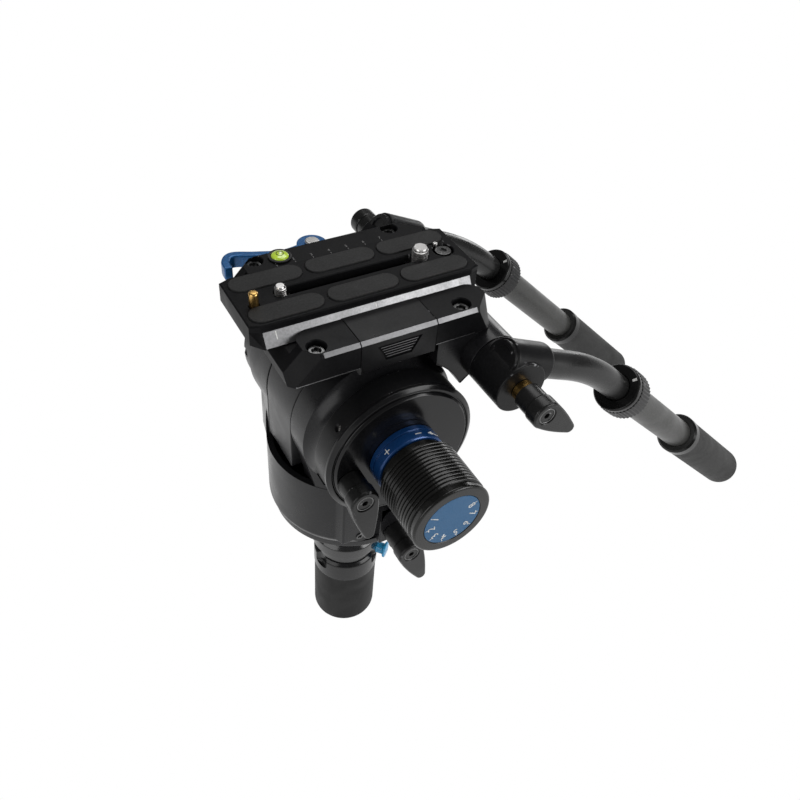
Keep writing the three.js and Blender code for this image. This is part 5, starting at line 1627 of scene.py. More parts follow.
@dataclass
class Platform:
    """The platform with its dovetail channel, jaw screws, lever tab and bubble level."""

    front: float = -62
    rear: float = 63
    low: float = 159.8
    floor: float = 171.7
    corner_foot: float = 3.5
    front_corner: float = 19.6
    rear_corner: float = 12
    nose_height: float = 5.4
    nose_run: float = 11
    fillet: float = 9
    slope: float = 4.95 / 7.7
    notch: Point = (-21.6, 25.3)
    leg: float = 11.3
    skirt: float = 8.3
    rod: float = 3.3
    rod_drop: float = 12.6
    screw_x: Point = (-43.2, 45)
    screw_y: Point = (-40.6, 43.2)
    counterbore: float = 5.2
    counterbore_depth: float = 5.5
    bolt: Place = (4.4, 2.8, 2.4)
    tab: float = 11
    tab_inner: float = 40
    tab_low: float = 155.3
    tab_high: float = 160.3
    lever_space: float = 9.8
    lever_high: float = 169.5
    pin: float = 3.3
    pin_floor: float = 156
    level: Point = (-28.2, 40.6)
    level_hole: float = 6.4
    level_floor: float = 171.3
    level_body: Outline = ((0, 171.6), (6.1, 171.6), (6.1, 176.9), (6.9, 176.9), (6.9, 177.9), (5.4, 177.9),
                           (5.4, 172.6), (0, 172.6))
    vial_foot: float = 172.9
    vial: float = 5.1
    vial_edge: float = 177.7
    vial_crown: float = 1.7
    level_ring: Outline = ((1.9, 178.9), (2.3, 178.9), (2.3, 179.42), (1.9, 179.42), (1.9, 178.9))
    bead: Outline = ((0, 178.9), (1.2, 179.1), (0.9, 179.5), (0, 179.6))
    bead_place: Place = (-27.6, 41, 0)
    foot_line: Point = (0.2, 0.75)
    figures: int = 7
    figure_x: Point = (-33, 11.3)
    figure: Point = (3, 0.1)
    figure_y: float = 36
    tick_y: Point = (32.2, 33.8)
    tick_half: float = 0.15

    def half_at(self, z: float) -> float:
        """Half the camera plate's width at a height."""
        return SLAB_HALF + (SLAB_FOOT - z) * self.slope

    def leg_at(self, leg: float, z: float) -> float:
        """How far a leaning corner chamfer reaches at a height."""
        return self.corner_foot + (leg - self.corner_foot) * (z - self.low) / (JAW_TOP - self.low)

    def build(self, bench: Bench) -> None:
        """Builds the platform and what sits in it."""
        body = self.blank().cut(self.channel(), self.clamp_space())
        body.joined(self.lever_tab())
        pivot, level = at((0, LEVER_Y, 0)), at((*self.level, 0))
        body.cut(Shape.ring(0, self.lever_space, self.tab_high, self.lever_high, pivot))
        body.cut(hole(self.pin, self.pin_floor, self.tab_high, pivot, 0.3))
        body.cut(hole(self.level_hole, self.level_floor, JAW_TOP, level, 0.3))
        seat = JAW_TOP - self.counterbore_depth
        places = [(x, y) for x in self.screw_x for y in self.screw_y]
        for spot in places:
            body.cut(hole(self.counterbore, seat, JAW_TOP, at((*spot, 0)), 0.5))
        bench.fit(body, JAW, "platform", corner=20)
        for side in Side:
            self.bright_rim(bench, side)
        heads = [socket_screw(*self.bolt, at((*spot, seat))) for spot in places]
        bench.add(loose(heads), DARK_STEEL, "jaw_screws", "platform")
        self.bubble_level(bench, level)
        self.signs(bench)

    def blank(self) -> Shape:
        """The block with its leaning corners, top bevel and sloping nose."""
        nose, foot = self.low + self.nose_height, JAW_TOP - JAW_BEVEL
        front, rear = self.front, self.rear
        points: list[Place] = []
        for side in Side:
            corners = [(end - way * self.leg_at(leg, z), JAW_HALF, z) for z in (self.low, foot)
                       for end, way, leg in ((front, -1, self.front_corner), (rear, 1, self.rear_corner))]
            corners += [(front + self.front_corner - JAW_BEVEL, JAW_HALF - JAW_BEVEL, JAW_TOP),
                        (rear - self.rear_corner + JAW_BEVEL, JAW_HALF - JAW_BEVEL, JAW_TOP),
                        (front, JAW_HALF - self.corner_foot, self.low),
                        (front, JAW_HALF - self.leg_at(self.front_corner, nose), nose),
                        (front + self.nose_run, JAW_HALF - self.front_corner + self.nose_run, JAW_TOP),
                        (rear, JAW_HALF - self.corner_foot, self.low),
                        (rear, JAW_HALF - self.rear_corner, JAW_TOP)]
            points += [(x, side.value * y, z) for x, y, z in corners]
        return Shape.hull(points).softened(0.35, 2, 12)

    def channel(self) -> Shape:
        """The dovetail channel with rounded jaw corners at both ends."""
        high = JAW_TOP + OVERRUN
        wide, foot = self.half_at(high) + GAP, self.half_at(PLATE_FOOT) + GAP
        section = [(-foot, self.floor), (foot, self.floor), (foot, PLATE_FOOT), (wide, high), (-wide, high),
                   (-foot, PLATE_FOOT)]
        space = along(section, self.front - OVERRUN, self.rear + OVERRUN)
        edge, r = self.half_at(JAW_TOP) + GAP, self.fillet
        for side in Side:
            for end, inward in ((self.front + self.nose_run, 1), (self.rear, -1)):
                corner = Shape.box(span(end - inward * 2 * r, end + inward * r),
                                   span(side.value * (edge - r), side.value * (edge + r)), (self.floor, high))
                centre = at((end + inward * r, side.value * (edge + r), 0))
                bore = Shape.ring(0, r, self.floor - OVERRUN, high + OVERRUN, centre, ROUND)
                space.joined(corner.cut(bore))
        return space

    def clamp_space(self) -> Shape:
        """The room for the side clamp and its rod."""
        outside, wall = -JAW_HALF - OVERRUN, -(self.half_at(PLATE_FOOT) + GAP)
        high = JAW_TOP + OVERRUN
        leg = Shape.box(self.notch, (outside, wall), (JAW_TOP - self.leg, high))
        lip = Shape.box(self.notch, (wall - OVERRUN, -SLAB_HALF), (self.floor, high))
        skirt = Shape.box(self.notch, (outside, self.skirt - JAW_HALF), (self.low - OVERRUN, JAW_TOP))
        axis = at((0, 0, JAW_TOP - self.rod_drop), Axis.FAR)
        return leg.joined(lip, skirt, Shape.ring(0, self.rod, -JAW_HALF, JAW_HALF, axis, SMALL))

    def lever_tab(self) -> Shape:
        """The round tab that the lock lever turns on."""
        round_end = Shape.ring(0, self.tab, self.tab_low, self.tab_high, at((0, LEVER_Y, 0)))
        root = Shape.box((-self.tab, self.tab), (self.tab_inner, LEVER_Y), (self.tab_low, self.tab_high))
        return round_end.joined(root)

    def bright_rim(self, bench: Bench, side: Side) -> None:
        """Lays the bare turned edge along a jaw's top bevel, and the near jaw's foot line."""
        films = []
        for first, last in self.rim_runs(side):
            films.append(bevel_film(side, first, last, FILM_DEPTH - FILM))
            if side is Side.NEAR:
                face = -JAW_HALF - FILM
                low, high = (self.low + rise for rise in self.foot_line)
                line = [(face, low), (face, high), (face + FILM_DEPTH, high), (face + FILM_DEPTH, low)]
                start = first - self.front_corner + self.corner_foot if first < 0 else first
                films.append(along(line, start, last))
        bench.add(loose(films), BURNISHED, f"jaw_edge_{side.word}", "platform")

    def rim_runs(self, side: Side) -> list[Point]:
        """The stretches of a jaw's edge that stand free."""
        first, last = self.front + self.front_corner, self.rear - self.rear_corner
        if side is Side.NEAR:
            return [(first, self.notch[0] - EDGE_GAP), (self.notch[1] + EDGE_GAP, last)]
        return [(first, last)]

    def bubble_level(self, bench: Bench, stand: Matrix) -> None:
        """Builds the round level with its liquid, ring and bubble."""
        bench.fit(lathed(self.level_body, 0.25, stand, 64), CHARCOAL, "level_housing")
        top = self.vial_edge + self.vial_crown
        turns = (math.pi / 2 * i / 10 for i in range(1, 10))
        dome = [(0, self.vial_foot), (self.vial, self.vial_foot), (self.vial, self.vial_edge)]
        dome += [(self.vial * math.cos(a), self.vial_edge + self.vial_crown * math.sin(a)) for a in turns]
        bench.fit(Shape.turned(dome + [(0, top)], stand, 64), VIAL_LIQUID, "level_vial")
        bench.add(lathed(self.level_ring, 0.1, stand, 48), VIAL_RING, "level_ring", "level_vial")
        bench.add(Shape.turned(self.bead, at(self.bead_place), 32), VIAL_BEAD, "level_bubble", "level_vial")

    def signs(self, bench: Bench) -> None:
        """Adds the small figures and ticks along the far jaw."""
        marks = []
        lift, thin = JAW_TOP + 0.01, 0.05
        first, step = self.figure_x
        for i in range(self.figures):
            x = first + step * i
            marks.append(Shape.words(str(i + 1), *self.figure, at((x, self.figure_y, lift))))
            tick = (x - self.tick_half, x + self.tick_half)
            marks.append(Shape.box(tick, self.tick_y, (lift - thin, lift + thin)))
        bench.add(loose(marks), MARK_GREY, "jaw_scale", "platform")


def bevel_film(side: Side, first: float, last: float, depth: float) -> Shape:
    """A thin film on the top bevel of a jaw or of the clamp.

    Args:
        side: The side it lies on.
        first: Where it starts along the head.
        last: Where it ends.
        depth: How far its foot reaches into the metal.

    Returns:
        The film.
    """
    foot, inner = JAW_TOP - JAW_BEVEL - FILM, JAW_HALF - JAW_BEVEL
    section = [(JAW_HALF + FILM, foot), (inner, JAW_TOP + FILM), (inner, JAW_TOP - EDGE_GAP),
               (JAW_HALF - depth, foot)]
    return along([(side.value * y, z) for y, z in section], first, last)


@dataclass
class SideClamp:
    """The clamp block that presses on the plate's dovetail, its rod and the lock lever."""

    x: Point = (-21.3, 25)
    foot: float = 154.5
    edge: float = 1.5
    top_half: float = 25.436
    inner_half: float = 28.8
    leg_foot: float = 165.6
    skirt: float = 41
    rod_hole: float = 3.3
    rod_space: Point = (37.3, 44.4)
    rod: float = 3
    rod_z: float = 164
    rod_ends: Point = (-44.3, 47.7)
    ribs: int = 5
    rib_height: float = 0.9
    rib_width: float = 1.1
    patch: Point = (14, 8)
    patch_height: float = 10.5
    patch_top: float = 171.1
    patch_depth: float = 1.1
    line_half: float = 0.15
    line_lift: float = 0.04
    lever_foot: float = 160.6
    lever_top: float = 169.2
    hub: float = 9.5
    route: Outline = ((-4, 0.5), (-20, -1.6), (-35.5, 3), (-48.5, 7.8), (-54.4, 3), (-55.4, -5))
    route_steps: int = 8
    width: float = 5
    cap: Outline = ((0, 156.3), (3, 156.3), (3, 169.5), (4.4, 169.5), (4.4, 170.6), (3.9, 171.1), (0, 171.1))

    def build(self, bench: Bench) -> None:
        """Builds its pieces."""
        self.block(bench)
        rod = Shape.rod(self.rod, *self.rod_ends, 0.4, at((0, 0, self.rod_z), Axis.FAR), 32)
        bench.fit(rod, STEEL, "clamp_rod")
        self.lever(bench)

    @property
    def middle(self) -> float:
        """The block's middle along the head."""
        return sum(self.x) / 2

    def rib_place(self, i: int) -> Point:
        """A rib's height and half the thumb patch's width there."""
        wide, narrow = self.patch
        share = i / (self.ribs + 1)
        return (self.patch_top - self.patch_height * share, wide + (narrow - wide) * share)

    def block(self, bench: Bench) -> None:
        """Builds the block with its ribbed thumb patch and bright edges."""
        section = [(-self.top_half - GAP, JAW_TOP), (JAW_BEVEL - JAW_HALF, JAW_TOP),
                   (-JAW_HALF, JAW_TOP - JAW_BEVEL), (-JAW_HALF, self.foot + self.edge),
                   (self.edge - JAW_HALF, self.foot), (-self.skirt, self.foot), (-self.skirt, self.leg_foot),
                   (-self.inner_half, self.leg_foot), (-self.inner_half, PLATE_FOOT)]
        body = along(section, *self.x).softened(0.3, 2, 20)
        wide, narrow = self.patch
        low = self.patch_top - self.patch_height
        patch = [(self.middle - narrow, low), (self.middle + narrow, low),
                 (self.middle + wide, self.patch_top), (self.middle - wide, self.patch_top)]
        body.cut(across(patch, -JAW_HALF - OVERRUN, self.patch_depth - JAW_HALF))
        body.cut(Shape.ring(0, self.rod_hole, *self.rod_space, at((0, 0, self.rod_z), Axis.NEAR), SMALL))
        floor = self.patch_depth - JAW_HALF
        for i in range(1, self.ribs + 1):
            z, half = self.rib_place(i)
            half -= self.rib_width
            rib = Shape.box((self.middle - half, self.middle + half),
                            (floor - self.rib_height, floor + self.rib_width),
                            (z - self.rib_width / 2, z + self.rib_width / 2))
            body.joined(rib.softened(0.25, 3))
        bench.fit(body, ANODISED, "clamp_block", corner=20)
        film = bevel_film(Side.NEAR, self.x[0] + EDGE_GAP, self.x[1] - EDGE_GAP, FILM_DEPTH)
        bench.add(film, BURNISHED, "clamp_edge", "clamp_block")
        self.rib_lines(bench)

    def rib_lines(self, bench: Bench) -> None:
        """Adds the rubbed bright line on the edge of each rib."""
        face = self.patch_depth - JAW_HALF - self.rib_height
        lines = []
        for i in range(1, self.ribs + 1):
            z, half = self.rib_place(i)
            z, half = z + self.rib_width / 4, half - 1.5 * self.rib_width
            lines.append(Shape.box((self.middle - half, self.middle + half),
                                   (face - self.line_lift, face + EDGE_GAP),
                                   (z - self.line_half, z + self.line_half)))
        bench.add(loose(lines), BURNISHED, "clamp_rib_lines", "clamp_block")

    def lever(self, bench: Bench) -> None:
        """Builds the curved lock lever and its pivot cap."""
        left, right = self.sides()
        stand = at((0, LEVER_Y, 0))
        arm = Shape.prism(left + right[::-1], self.lever_foot, self.lever_top, stand).softened(1, 3)
        body = Shape.rod(self.hub, self.lever_foot, self.lever_top, 1, stand, 64, 4).joined(arm)
        body.cut(Shape.ring(0, self.rod_hole, self.lever_foot - 1, self.lever_top + 1, stand, 48))
        bench.fit(body, LEVER_BLUE, "lock_lever")
        bench.fit(lathed(self.cap, 0.3, stand, 64), STEEL, "lock_lever_pivot")

    def sides(self) -> tuple[list[Point], list[Point]]:
        """The two long sides of the lever's arm, along a smooth route."""
        knots = [Vector((*p, 0)) for p in self.route]
        points: list[Vector] = []
        padded = [2 * knots[0] - knots[1], *knots, 2 * knots[-1] - knots[-2]]
        for a, b, c, d in zip(padded, padded[1:], padded[2:], padded[3:]):
            for i in range(self.route_steps):
                t = i / self.route_steps
                points.append(0.5 * ((2 * b) + (c - a) * t + (2 * a - 5 * b + 4 * c - d) * t * t
                                     + (3 * b - a - 3 * c + d) * t ** 3))
        points.append(knots[-1])
        left, right = [], []
        for i, point in enumerate(points):
            way = (points[min(i + 1, len(points) - 1)] - points[max(i - 1, 0)]).normalized() * self.width / 2
            left.append((point.x - way.y, point.y + way.x))
            right.append((point.x + way.y, point.y - way.x))
        return left, right


@dataclass
class CameraScrew:
    """One screw that holds a camera: its node, place, thread, head and coin slot."""

    name: str
    x: float
    thread: Thread
    head: float
    head_foot: float
    head_top: float
    slot: float

    def build(self, bench: Bench) -> None:
        """Builds the screw."""
        stand = at((self.x, 0, 0))
        body = Shape.rod(self.head, self.head_foot, self.head_top, 0.4, stand, 64)
        body.joined(self.thread.shape(stand))
        body.cut(Shape.box((self.x - 20, self.x + 20), (-self.slot / 2, self.slot / 2),
                           (self.head_foot - OVERRUN, self.head_foot + self.slot)))
        bench.fit(body, STEEL, self.name)


@dataclass
class CameraPlate:
    """The sliding camera plate with its pads, screws and locating pin."""

    length: float = 139.5
    centre: float = -2
    high: float = 184
    bottom_half: float = 28.2
    corner: Point = (5.6, 2.1)
    edge: float = 0.7
    recess_half: float = 9.6
    recess_end: float = 4.6
    web: float = 179
    slot: Point = (-48.9, 39)
    slot_half: float = 3.5
    mouth: float = 0.5
    pad: Point = (42, 13.2)
    pad_y: float = 14.3
    pad_first: float = -47.7
    pad_pitch: float = 45
    pad_low: float = 183.3
    pad_high: float = 184.9
    columns: int = 3
    front: CameraScrew = field(default_factory=lambda: CameraScrew(
        "camera_screw_front", -45.2, Thread(3.175, 176.4, 188.4, pitch=1.27), 6.6, 173.7, 176.9, slot=1.4))
    rear: CameraScrew = field(default_factory=lambda: CameraScrew(
        "camera_screw_rear", 41.3, Thread(4.7625, 178.2, 190, pitch=1.59), 8, 174.7, 178.7, slot=1.6))
    washer: Outline = ((3.475, 177.5), (8, 177.5), (8, 178.7), (3.475, 178.7), (3.475, 177.5))
    rear_hole: float = 5.0625
    pin: Point = (-62.2, -5)
    pin_hole: float = 2.9
    pin_profile: Outline = ((0, 176.4), (2.6, 176.4), (2.6, 177), (3.4, 177), (3.4, 178.7), (2.6, 178.7),
                            (2.6, 191.6), (1.9, 192.4), (0, 192.4))
    stop_x: float = 57
    stop_hole: float = 2.8
    stop_well: Point = (6.2, 2.5)
    stop: Outline = ((0, 174), (2.5, 174), (2.5, 181.8), (4.8, 181.8), (4.8, 183.7), (0, 183.7))
    stop_key: Place = (2.4, 182.5, 190)
    dowel: Outline = ((0, 183.9), (1.5, 183.9), (1.5, 185.6), (1.1, 186), (0, 186))
    dowel_place: Place = (54.8, 5.7, 0)
    film: Point = (0.08, 0.25)
    film_levels: Point = (172.6, 179.9)
    tick_x: Place = (-58.4, 0, 54)
    tick_levels: Point = (175.6, 179.4)
    tick_half: float = 0.3
    tick_film: Point = (0.14, 0.06)

    def pads(self) -> list[tuple[str, Point]]:
        """Each pad's name and centre."""
        return [(f"pad_{side.word}_{column + 1}",
                 (self.pad_first + column * self.pad_pitch, side.value * self.pad_y))
                for column in range(self.columns) for side in Side]

    def build(self, bench: Bench) -> None:
        """Builds its pieces."""
        self.plate(bench)
        self.bare_slopes(bench)
        self.ticks(bench)
        for name, spot in self.pads():
            pad = Shape.prism(stadium(*self.pad, spot), self.pad_low, self.pad_high).softened(0.35, 3, 40)
            bench.fit(pad, PAD_RUBBER, name)
        self.screws(bench)

    def plate(self, bench: Bench) -> None:
        """Builds the plate: a slab on a dovetail foot, slotted and bored."""
        body = self.slab().joined(self.foot())
        body.cut(Shape.box(self.ends(self.recess_end), (-self.recess_half, self.recess_half),
                           (PLATE_FOOT - OVERRUN, self.web)))
        low, top = self.web - OVERRUN, self.high + OVERRUN
        slot = stadium(self.slot[1] - self.slot[0], 2 * self.slot_half, (sum(self.slot) / 2, 0))
        body.cut(Shape.prism(slot, low, top), self.flare(slot))
        for _, spot in self.pads():
            room = stadium(self.pad[0] + 2 * GAP, self.pad[1] + 2 * GAP, spot)
            body.cut(Shape.prism(room, self.pad_low - GAP, top))
        stop = at((self.stop_x, 0, 0))
        well, depth = self.stop_well
        body.cut(hole(self.rear_hole, low, self.high, at((self.rear.x, 0, 0)), 0.5),
                 hole(self.pin_hole, low, self.high, at((*self.pin, 0)), 0.4),
                 hole(self.stop_hole, low, self.high, stop, 0.3),
                 hole(well, self.high - depth, self.high, stop, 0.5))
        bench.fit(body, PLATE_TOP, "camera_plate", corner=20)

    def flare(self, outline: Sequence[Point]) -> Shape:
        """A cutter that chamfers the slot's mouth in the top face."""
        first, last = self.slot[0] + self.slot_half, self.slot[1] - self.slot_half
        grown = []
        for x, y in outline:
            out = Vector((x - min(max(x, first), last), y)).normalized() * self.mouth
            grown.append((x + out.x, y + out.y, self.high + 0.01))
        return Shape.hull([(x, y, self.high - self.mouth) for x, y in outline] + grown)

    def ends(self, inset: float) -> Point:
        """Where the plate ends in front and at the rear, moved in by an inset."""
        return (self.centre - self.length / 2 + inset, self.centre + self.length / 2 - inset)

    def slab(self) -> Shape:
        """The flat top part with its cropped corners."""
        points: list[Place] = []
        for z, inset in ((SLAB_FOOT, 0), (self.high - self.edge, 0), (self.high, self.edge)):
            wide = SLAB_HALF - inset
            for x, inward in zip(self.ends(inset), (1, -1)):
                for side in Side:
                    points.append((x, side.value * (wide - self.corner[1]), z))
                    points.append((x + inward * self.corner[0], side.value * wide, z))
        return Shape.hull(points)

    def foot(self) -> Shape:
        """The dovetail under the slab."""
        points: list[Place] = []
        top = SLAB_FOOT + GAP
        for side in Side:
            for x in self.ends(self.corner[0]):
                points += [(x, side.value * self.bottom_half, PLATE_FOOT), (x, side.value * SLAB_HALF, top)]
            for x in self.ends(0):
                inner = side.value * (SLAB_HALF - self.corner[1])
                points += [(x, inner, PLATE_FOOT), (x, inner, top)]
        return Shape.hull(points)

    def slope_film(self, side: Side, levels: Point, lift: float, depth: float, ends: Point) -> Shape:
        """A thin film on the dovetail's slope.

        Args:
            side: The side it lies on.
            levels: Its lower and upper height.
            lift: How far it stands out of the slope.
            depth: How far it reaches in.
            ends: Where it starts and ends along the head.

        Returns:
            The film.
        """
        lean = (self.bottom_half - SLAB_HALF) / (SLAB_FOOT + GAP - PLATE_FOOT)
        halves = [self.bottom_half - (z - PLATE_FOOT) * lean for z in levels]
        section = [(side.value * (half + lift), z) for half, z in zip(halves, levels)]
        section += [(side.value * (half - depth), z) for half, z in zip(halves[::-1], levels[::-1])]
        return along(section, *ends)

    def bare_slopes(self, bench: Bench) -> None:
        """Lays the bare worn metal on the dovetail's slopes."""
        front, rear = self.ends(self.corner[0])
        ends = (front + 0.8, rear - 1.3)
        slopes = [self.slope_film(side, self.film_levels, *self.film, ends) for side in Side]
        bench.add(loose(slopes), SLOPE, "dovetail_slopes", "camera_plate")

    def ticks(self, bench: Bench) -> None:
        """Adds the short white position ticks on the dovetail's slopes."""
        marks = [self.slope_film(side, self.tick_levels, *self.tick_film, ends)
                 for ends in ((x - self.tick_half, x + self.tick_half) for x in self.tick_x) for side in Side]
        bench.add(loose(marks), MARK_WHITE, "plate_ticks", "camera_plate")

    def screws(self, bench: Bench) -> None:
        """Builds both camera screws, the washer, the stop screw and the locating pin."""
        self.front.build(bench)
        self.rear.build(bench)
        bench.fit(lathed(self.washer, 0.25, at((self.front.x, 0, 0)), 64), STEEL, "screw_washer")
        spot = at((self.stop_x, 0, 0))
        key, foot, top = self.stop_key
        body = lathed(self.stop, 0.35, spot, 48).cut(Shape.prism(hexagon(key), foot, top, spot))
        bench.fit(body, DARK_STEEL, "plate_stop_screw")
        bench.fit(lathed(self.pin_profile, 0.3, at((*self.pin, 0)), 48), BRASS, "locating_pin")
        bench.add(lathed(self.dowel, 0.15, at(self.dowel_place), 32), STEEL, "plate_dowel", "camera_plate")


@dataclass
class Handle:
    """One pan handle: socket, stud, wing lever, bent tube and the telescopic tube with its grip."""

    side: Side
    y: float = 71
    slope: float = 25
    bend: float = 18.3
    rise: float = 10.2
    bend_at: float = 68.4
    lead: float = 24
    tube: float = 9
    tube_end: float = 150
    tube_seat: float = 12
    barrel: float = 12
    barrel_back: float = 21
    rounding: float = 4
    nose: Outline = ((0, -12.7), (7.6, -12.7), (8.2, -13.6), (10.4, -13.6), (10.8, -13.2), (10.8, -11),
                     (11, -11), (11.7, -10.6), (12, -10))
    drum: Place = (16.5, -14, 13.2)
    stud_hole: float = 6.5
    stud: Outline = ((0, 46), (6.2, 46), (6.2, 84.5), (6.7, 84.5), (6.7, 89.1), (6.2, 89.1), (6.2, 98.4),
                     (0, 98.4))
    lever_y: float = 89.4
    lever_angle: float = 42
    lever_reach: float = 27
    lever_stem: float = 10
    cap: Outline = ((9.3, 40), (15.2, 40), (16.2, 41), (16.2, 44.2), (10.9, 44.2), (10.9, 42), (9.3, 42),
                    (9.3, 40))
    grip_tube: Outline = ((9.3, 42.3), (10.6, 42.3), (10.6, 262.9), (9.3, 262.9), (9.3, 42.3))
    grip_lip: Outline = ((10.9, 158.9), (13.9, 158.9), (15.2, 160.2), (15.2, 166.6), (14.9, 166.9),
                         (14.8, 167.2))
    grip_end: Point = (7.8, 269.9)
    grip_rounding: float = 7
    grip_floor: Outline = ((0, 276.9), (0, 263.2), (10.9, 263.2), (10.9, 158.9))
    band: Outline = ((13.9, 158.82), (15.28, 160.2), (15.28, 166.7), (15.1, 166.7), (15.1, 160.3),
                     (13.9, 159.1), (13.9, 158.82))
    ring: Place = (16.8, 44.5, 57.7)
    ring_bore: float = 10.9
    cap_tick: tuple[Point, Point, Point] = ((-14.6, -11.6), (-0.9, 0.9), (39.9, 40.06))
    tick_turn: float = 0.5
    flutes: int = 42
    flute_depth: float = 0.5
    flute_steps: int = 6
    pushed: float = 0
    wing: WingLever = field(default_factory=WingLever)

    @property
    def stand(self) -> Matrix:
        """The socket's frame, whose X runs down its barrel."""
        place = at((CROSS_ARM[0], self.side.value * self.y, CROSS_ARM[1]))
        return place @ Matrix.Rotation(math.radians(self.slope), 4, "Y")

    @property
    def telescope(self) -> Matrix:
        """The telescopic tube's frame, heights running outward along the tube."""
        bend = at((self.bend_at, 0, self.rise)) @ Matrix.Rotation(math.radians(self.bend), 4, "Y")
        return self.stand @ bend @ at((-self.pushed, 0, 0), Axis.REAR)

    def build(self, bench: Bench) -> None:
        """Builds its pieces."""
        self.socket(bench)
        self.stud_and_lever(bench)
        self.bent_tube(bench)
        self.telescopic(bench)

    def socket(self, bench: Bench) -> None:
        """Builds the socket: a barrel for the tube across a drum on the cross arm."""
        back = self.barrel_back
        line, cross = self.stand @ at((0, 0, self.rise), Axis.REAR), self.stand @ TURNS[self.side.outward]
        end = arc((self.barrel - self.rounding, back - self.rounding), self.rounding, 0, 90, 10)
        body = Shape.turned([*self.nose, *end, (0, back)], line, FINE)
        radius, inner, outer = self.drum
        body.joined(Shape.rod(radius, inner, outer, 1, cross, FINE, 4))
        body.cut(Shape.ring(0, self.stud_hole, -20, 20, cross, 48))
        body.cut(hole(self.tube + GAP, back - self.tube_seat, back, line, 0.6))
        bench.fit(body, ANODISED, f"handle_socket_{self.side.word}")

    def stud_and_lever(self, bench: Bench) -> None:
        """Builds the brass stud and the wing lever that tightens on it."""
        x, z = CROSS_ARM
        word = self.side.word
        stud = lathed(self.stud, 0.4, at((x, 0, z), self.side.outward), 64)
        bench.fit(stud, BRASS, f"handle_stud_{word}")
        place = (x, self.side.value * self.lever_y, z)
        inward = Axis.FAR if self.side is Side.NEAR else Axis.NEAR
        lever = self.wing.shape(place, self.side, self.lever_angle, self.lever_reach, self.lever_stem)
        lever.cut(hole(self.stud_hole, -9.3, 0.01, at(place, inward), 0.4))
        bench.fit(lever, LEVER_BLACK, f"handle_lever_{word}")
        bead = self.wing.rim(place, self.side, self.lever_stem)
        bench.add(bead, LEVER_CAP, f"handle_lever_bead_{word}", f"handle_lever_{word}")

    def bent_tube(self, bench: Bench) -> None:
        """Builds the tube that runs down from the socket and bends further down."""
        turn = math.radians(self.bend)

        def beyond(distance: float) -> Point:
            """A point on the tube's lower stretch."""
            return (self.bend_at + distance * math.cos(turn), self.rise - distance * math.sin(turn))

        curve = sweep((self.bend_at - self.lead, self.rise), (self.bend_at, self.rise), beyond(self.lead), 28)
        route = [(self.barrel_back - self.tube_seat + GAP, self.rise), *curve, beyond(self.tube_end)]
        body = Shape.tube([(x, 0, z) for x, z in route], self.tube).moved(self.stand)
        bench.fit(body, BLACK_TUBE, f"bent_tube_{self.side.word}")

    def telescopic(self, bench: Bench) -> None:
        """Builds the end cap, fluted ring, grey tube and grip."""
        word, line = self.side.word, self.telescope
        bench.fit(lathed(self.cap, 0.4, line, FINE), END_CAP, f"tube_end_cap_{word}")
        tick = Shape.box(*self.cap_tick).moved(line @ Matrix.Rotation(self.tick_turn, 4, "Z"))
        bench.add(tick, MARK_WHITE, f"end_cap_tick_{word}", f"tube_end_cap_{word}")
        self.fluted_ring(bench)
        bench.fit(lathed(self.grip_tube, 0.2, line, ROUND), GREY_TUBE, f"grip_tube_{word}")
        grip = [*self.grip_lip, *arc(self.grip_end, self.grip_rounding, 0, 90, 14), *self.grip_floor]
        bench.fit(Shape.turned(grip, line, ROUND), GRIP_RUBBER, f"handle_grip_{word}")
        bench.add(Shape.turned(self.band, line, ROUND), END_CAP, f"grip_lip_{word}", f"handle_grip_{word}")

    def fluted_ring(self, bench: Bench) -> None:
        """Builds the ring whose flutes give the fingers a hold."""
        radius, low, high = self.ring
        steps = self.flutes * self.flute_steps
        outline = []
        for turn in (math.tau * i / steps for i in range(steps)):
            reach = radius - self.flute_depth * (0.5 - 0.5 * math.cos(self.flutes * turn))
            outline.append((reach * math.cos(turn), reach * math.sin(turn)))
        body = Shape.prism(outline, low, high).softened(0.5, 2, 50)
        body.cut(Shape.ring(0, self.ring_bore, 40, 60, steps=64)).moved(self.telescope)
        bench.fit(body, CHARCOAL, f"twist_ring_{self.side.word}")


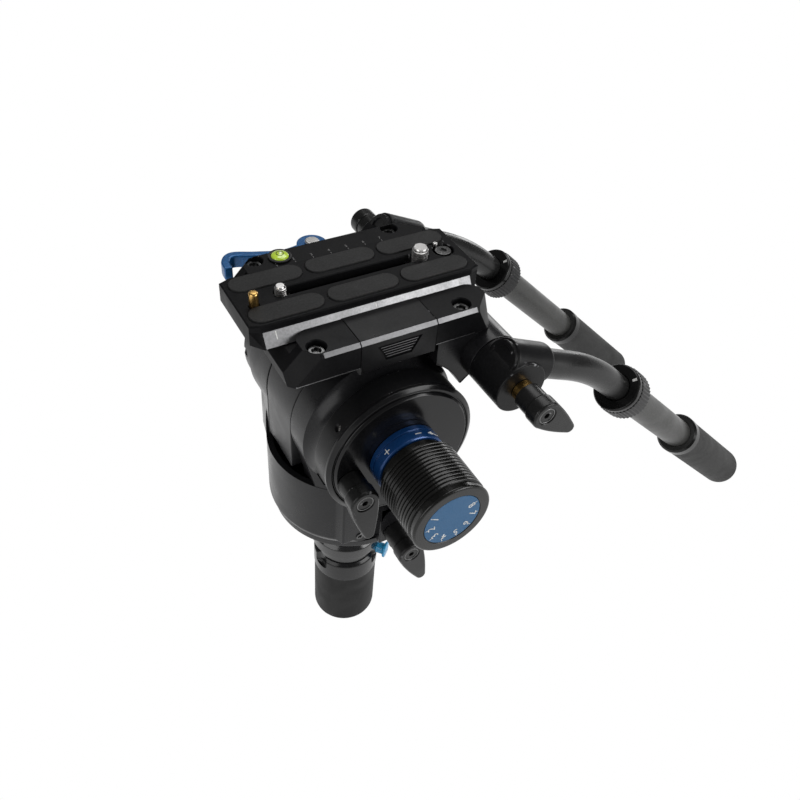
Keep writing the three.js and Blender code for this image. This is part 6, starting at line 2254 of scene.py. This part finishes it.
@dataclass
class Studio:
    """The camera at the photograph's angle, soft lights and a plain pale floor, in metres."""

    camera: Place = (-0.18056, -0.33388, 0.44722)
    heading: float = -33.09
    pitch: float = 46.66
    roll: float = 5.37
    lens: float = 36.96
    sensor: float = 36
    floor: float = -0.136
    floor_size: float = 9
    white: float = 1.0
    camera_white: float = 1.0
    sky: float = 0.15

    def build(self) -> None:
        """Builds the camera, lights and floor and sets the view transform."""
        scene = bpy.context.scene
        data = bpy.data.cameras.new("camera")
        data.lens, data.sensor_width = self.lens, self.sensor
        data.clip_start, data.clip_end = 0.01, 50
        camera = bpy.data.objects.new("camera", data)
        camera.location = self.camera
        turns = ((self.heading, "Z"), (self.pitch, "X"), (self.roll, "Z"))
        turned = Matrix.Identity(3)
        for angle, axis in turns:
            turned = turned @ Matrix.Rotation(math.radians(angle), 3, axis)
        camera.rotation_euler = turned.to_euler()
        scene.collection.objects.link(camera)
        scene.camera = camera
        scene.view_settings.view_transform = "Standard"
        self.soft_light("key", (0.78, -0.95, 0.6), 0.75, 10)
        self.soft_light("fill", (-1.15, -0.35, 0.55), 0.9, 6)
        self.soft_light("rim", (1.25, 0.8, 0.22), 0.4, 2)
        self.soft_light("overhead", (0.4, 0.42, 1.2), 0.9, 8)
        self.world(scene)
        self.ground()

    def soft_light(self, name: str, place: Place, size: float, power: float) -> None:
        """Adds a square soft box that looks at the object.

        Args:
            name: The light's name.
            place: Where it stands.
            size: Its side.
            power: Its power in watts.
        """
        data = bpy.data.lights.new(name, "AREA")
        data.shape = "SQUARE"
        data.size = size
        data.energy = power
        light = bpy.data.objects.new(name, data)
        light.location = place
        light.rotation_euler = (Vector((0, 0, 0.08)) - Vector(place)).to_track_quat("-Z", "Y").to_euler()
        bpy.context.scene.collection.objects.link(light)

    def world(self, scene: bpy.types.Scene) -> None:
        """Gives the room an even dim grey."""
        room = bpy.data.worlds.new("room")
        room.use_nodes = True
        room.node_tree.nodes["Background"].inputs[0].default_value = (self.sky, self.sky, self.sky, 1)
        scene.world = room

    def ground(self) -> None:
        """Lays the floor, which looks white to the camera and still takes the object's shadow."""
        bm = bmesh.new()
        bmesh.ops.create_grid(bm, x_segments=1, y_segments=1, size=self.floor_size / 2)
        bmesh.ops.translate(bm, verts=bm.verts[:], vec=(0, 0, self.floor))
        mesh = bpy.data.meshes.new("floor")
        bm.to_mesh(mesh)
        bm.free()
        floor = bpy.data.objects.new("floor", mesh)
        bpy.context.scene.collection.objects.link(floor)
        material = bpy.data.materials.new("floor_white")
        material.use_nodes = True
        material.node_tree.nodes.clear()
        wires = Wiring(material.node_tree)
        seen = wires.node("LightPath")
        ray = wires.math("MAXIMUM", seen.outputs["Is Camera Ray"], seen.outputs["Is Glossy Ray"])
        ray = wires.math("MAXIMUM", ray, seen.outputs["Is Transmission Ray"])
        share = wires.math("MULTIPLY", ray, self.camera_white)
        matt = wires.node("BsdfDiffuse", {"Color": (0.9, 0.9, 0.9, 1)})
        glow = wires.node("Emission", {"Color": (self.white, self.white, self.white, 1)})
        mixed = wires.node("MixShader", {0: share, 1: matt.outputs[0], 2: glow.outputs[0]})
        wires.node("OutputMaterial", {"Surface": mixed.outputs[0]})
        mesh.materials.append(material)


def main() -> None:
    """Builds every sub-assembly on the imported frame."""
    logging.basicConfig(level=logging.INFO, format="%(message)s")
    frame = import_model()
    bench = Bench(frame)
    Studio().build()
    parts = (TripodSeat(), TieDown(), PanBody(), TiltDrag(), Counterbalance(), LockLevers(), TiltBlock(),
             Platform(), SideClamp(), CameraPlate(), Handle(Side.NEAR), Handle(Side.FAR, pushed=6.2))
    for part in parts:
        part.build(bench)


if __name__ == "__main__":
    main()
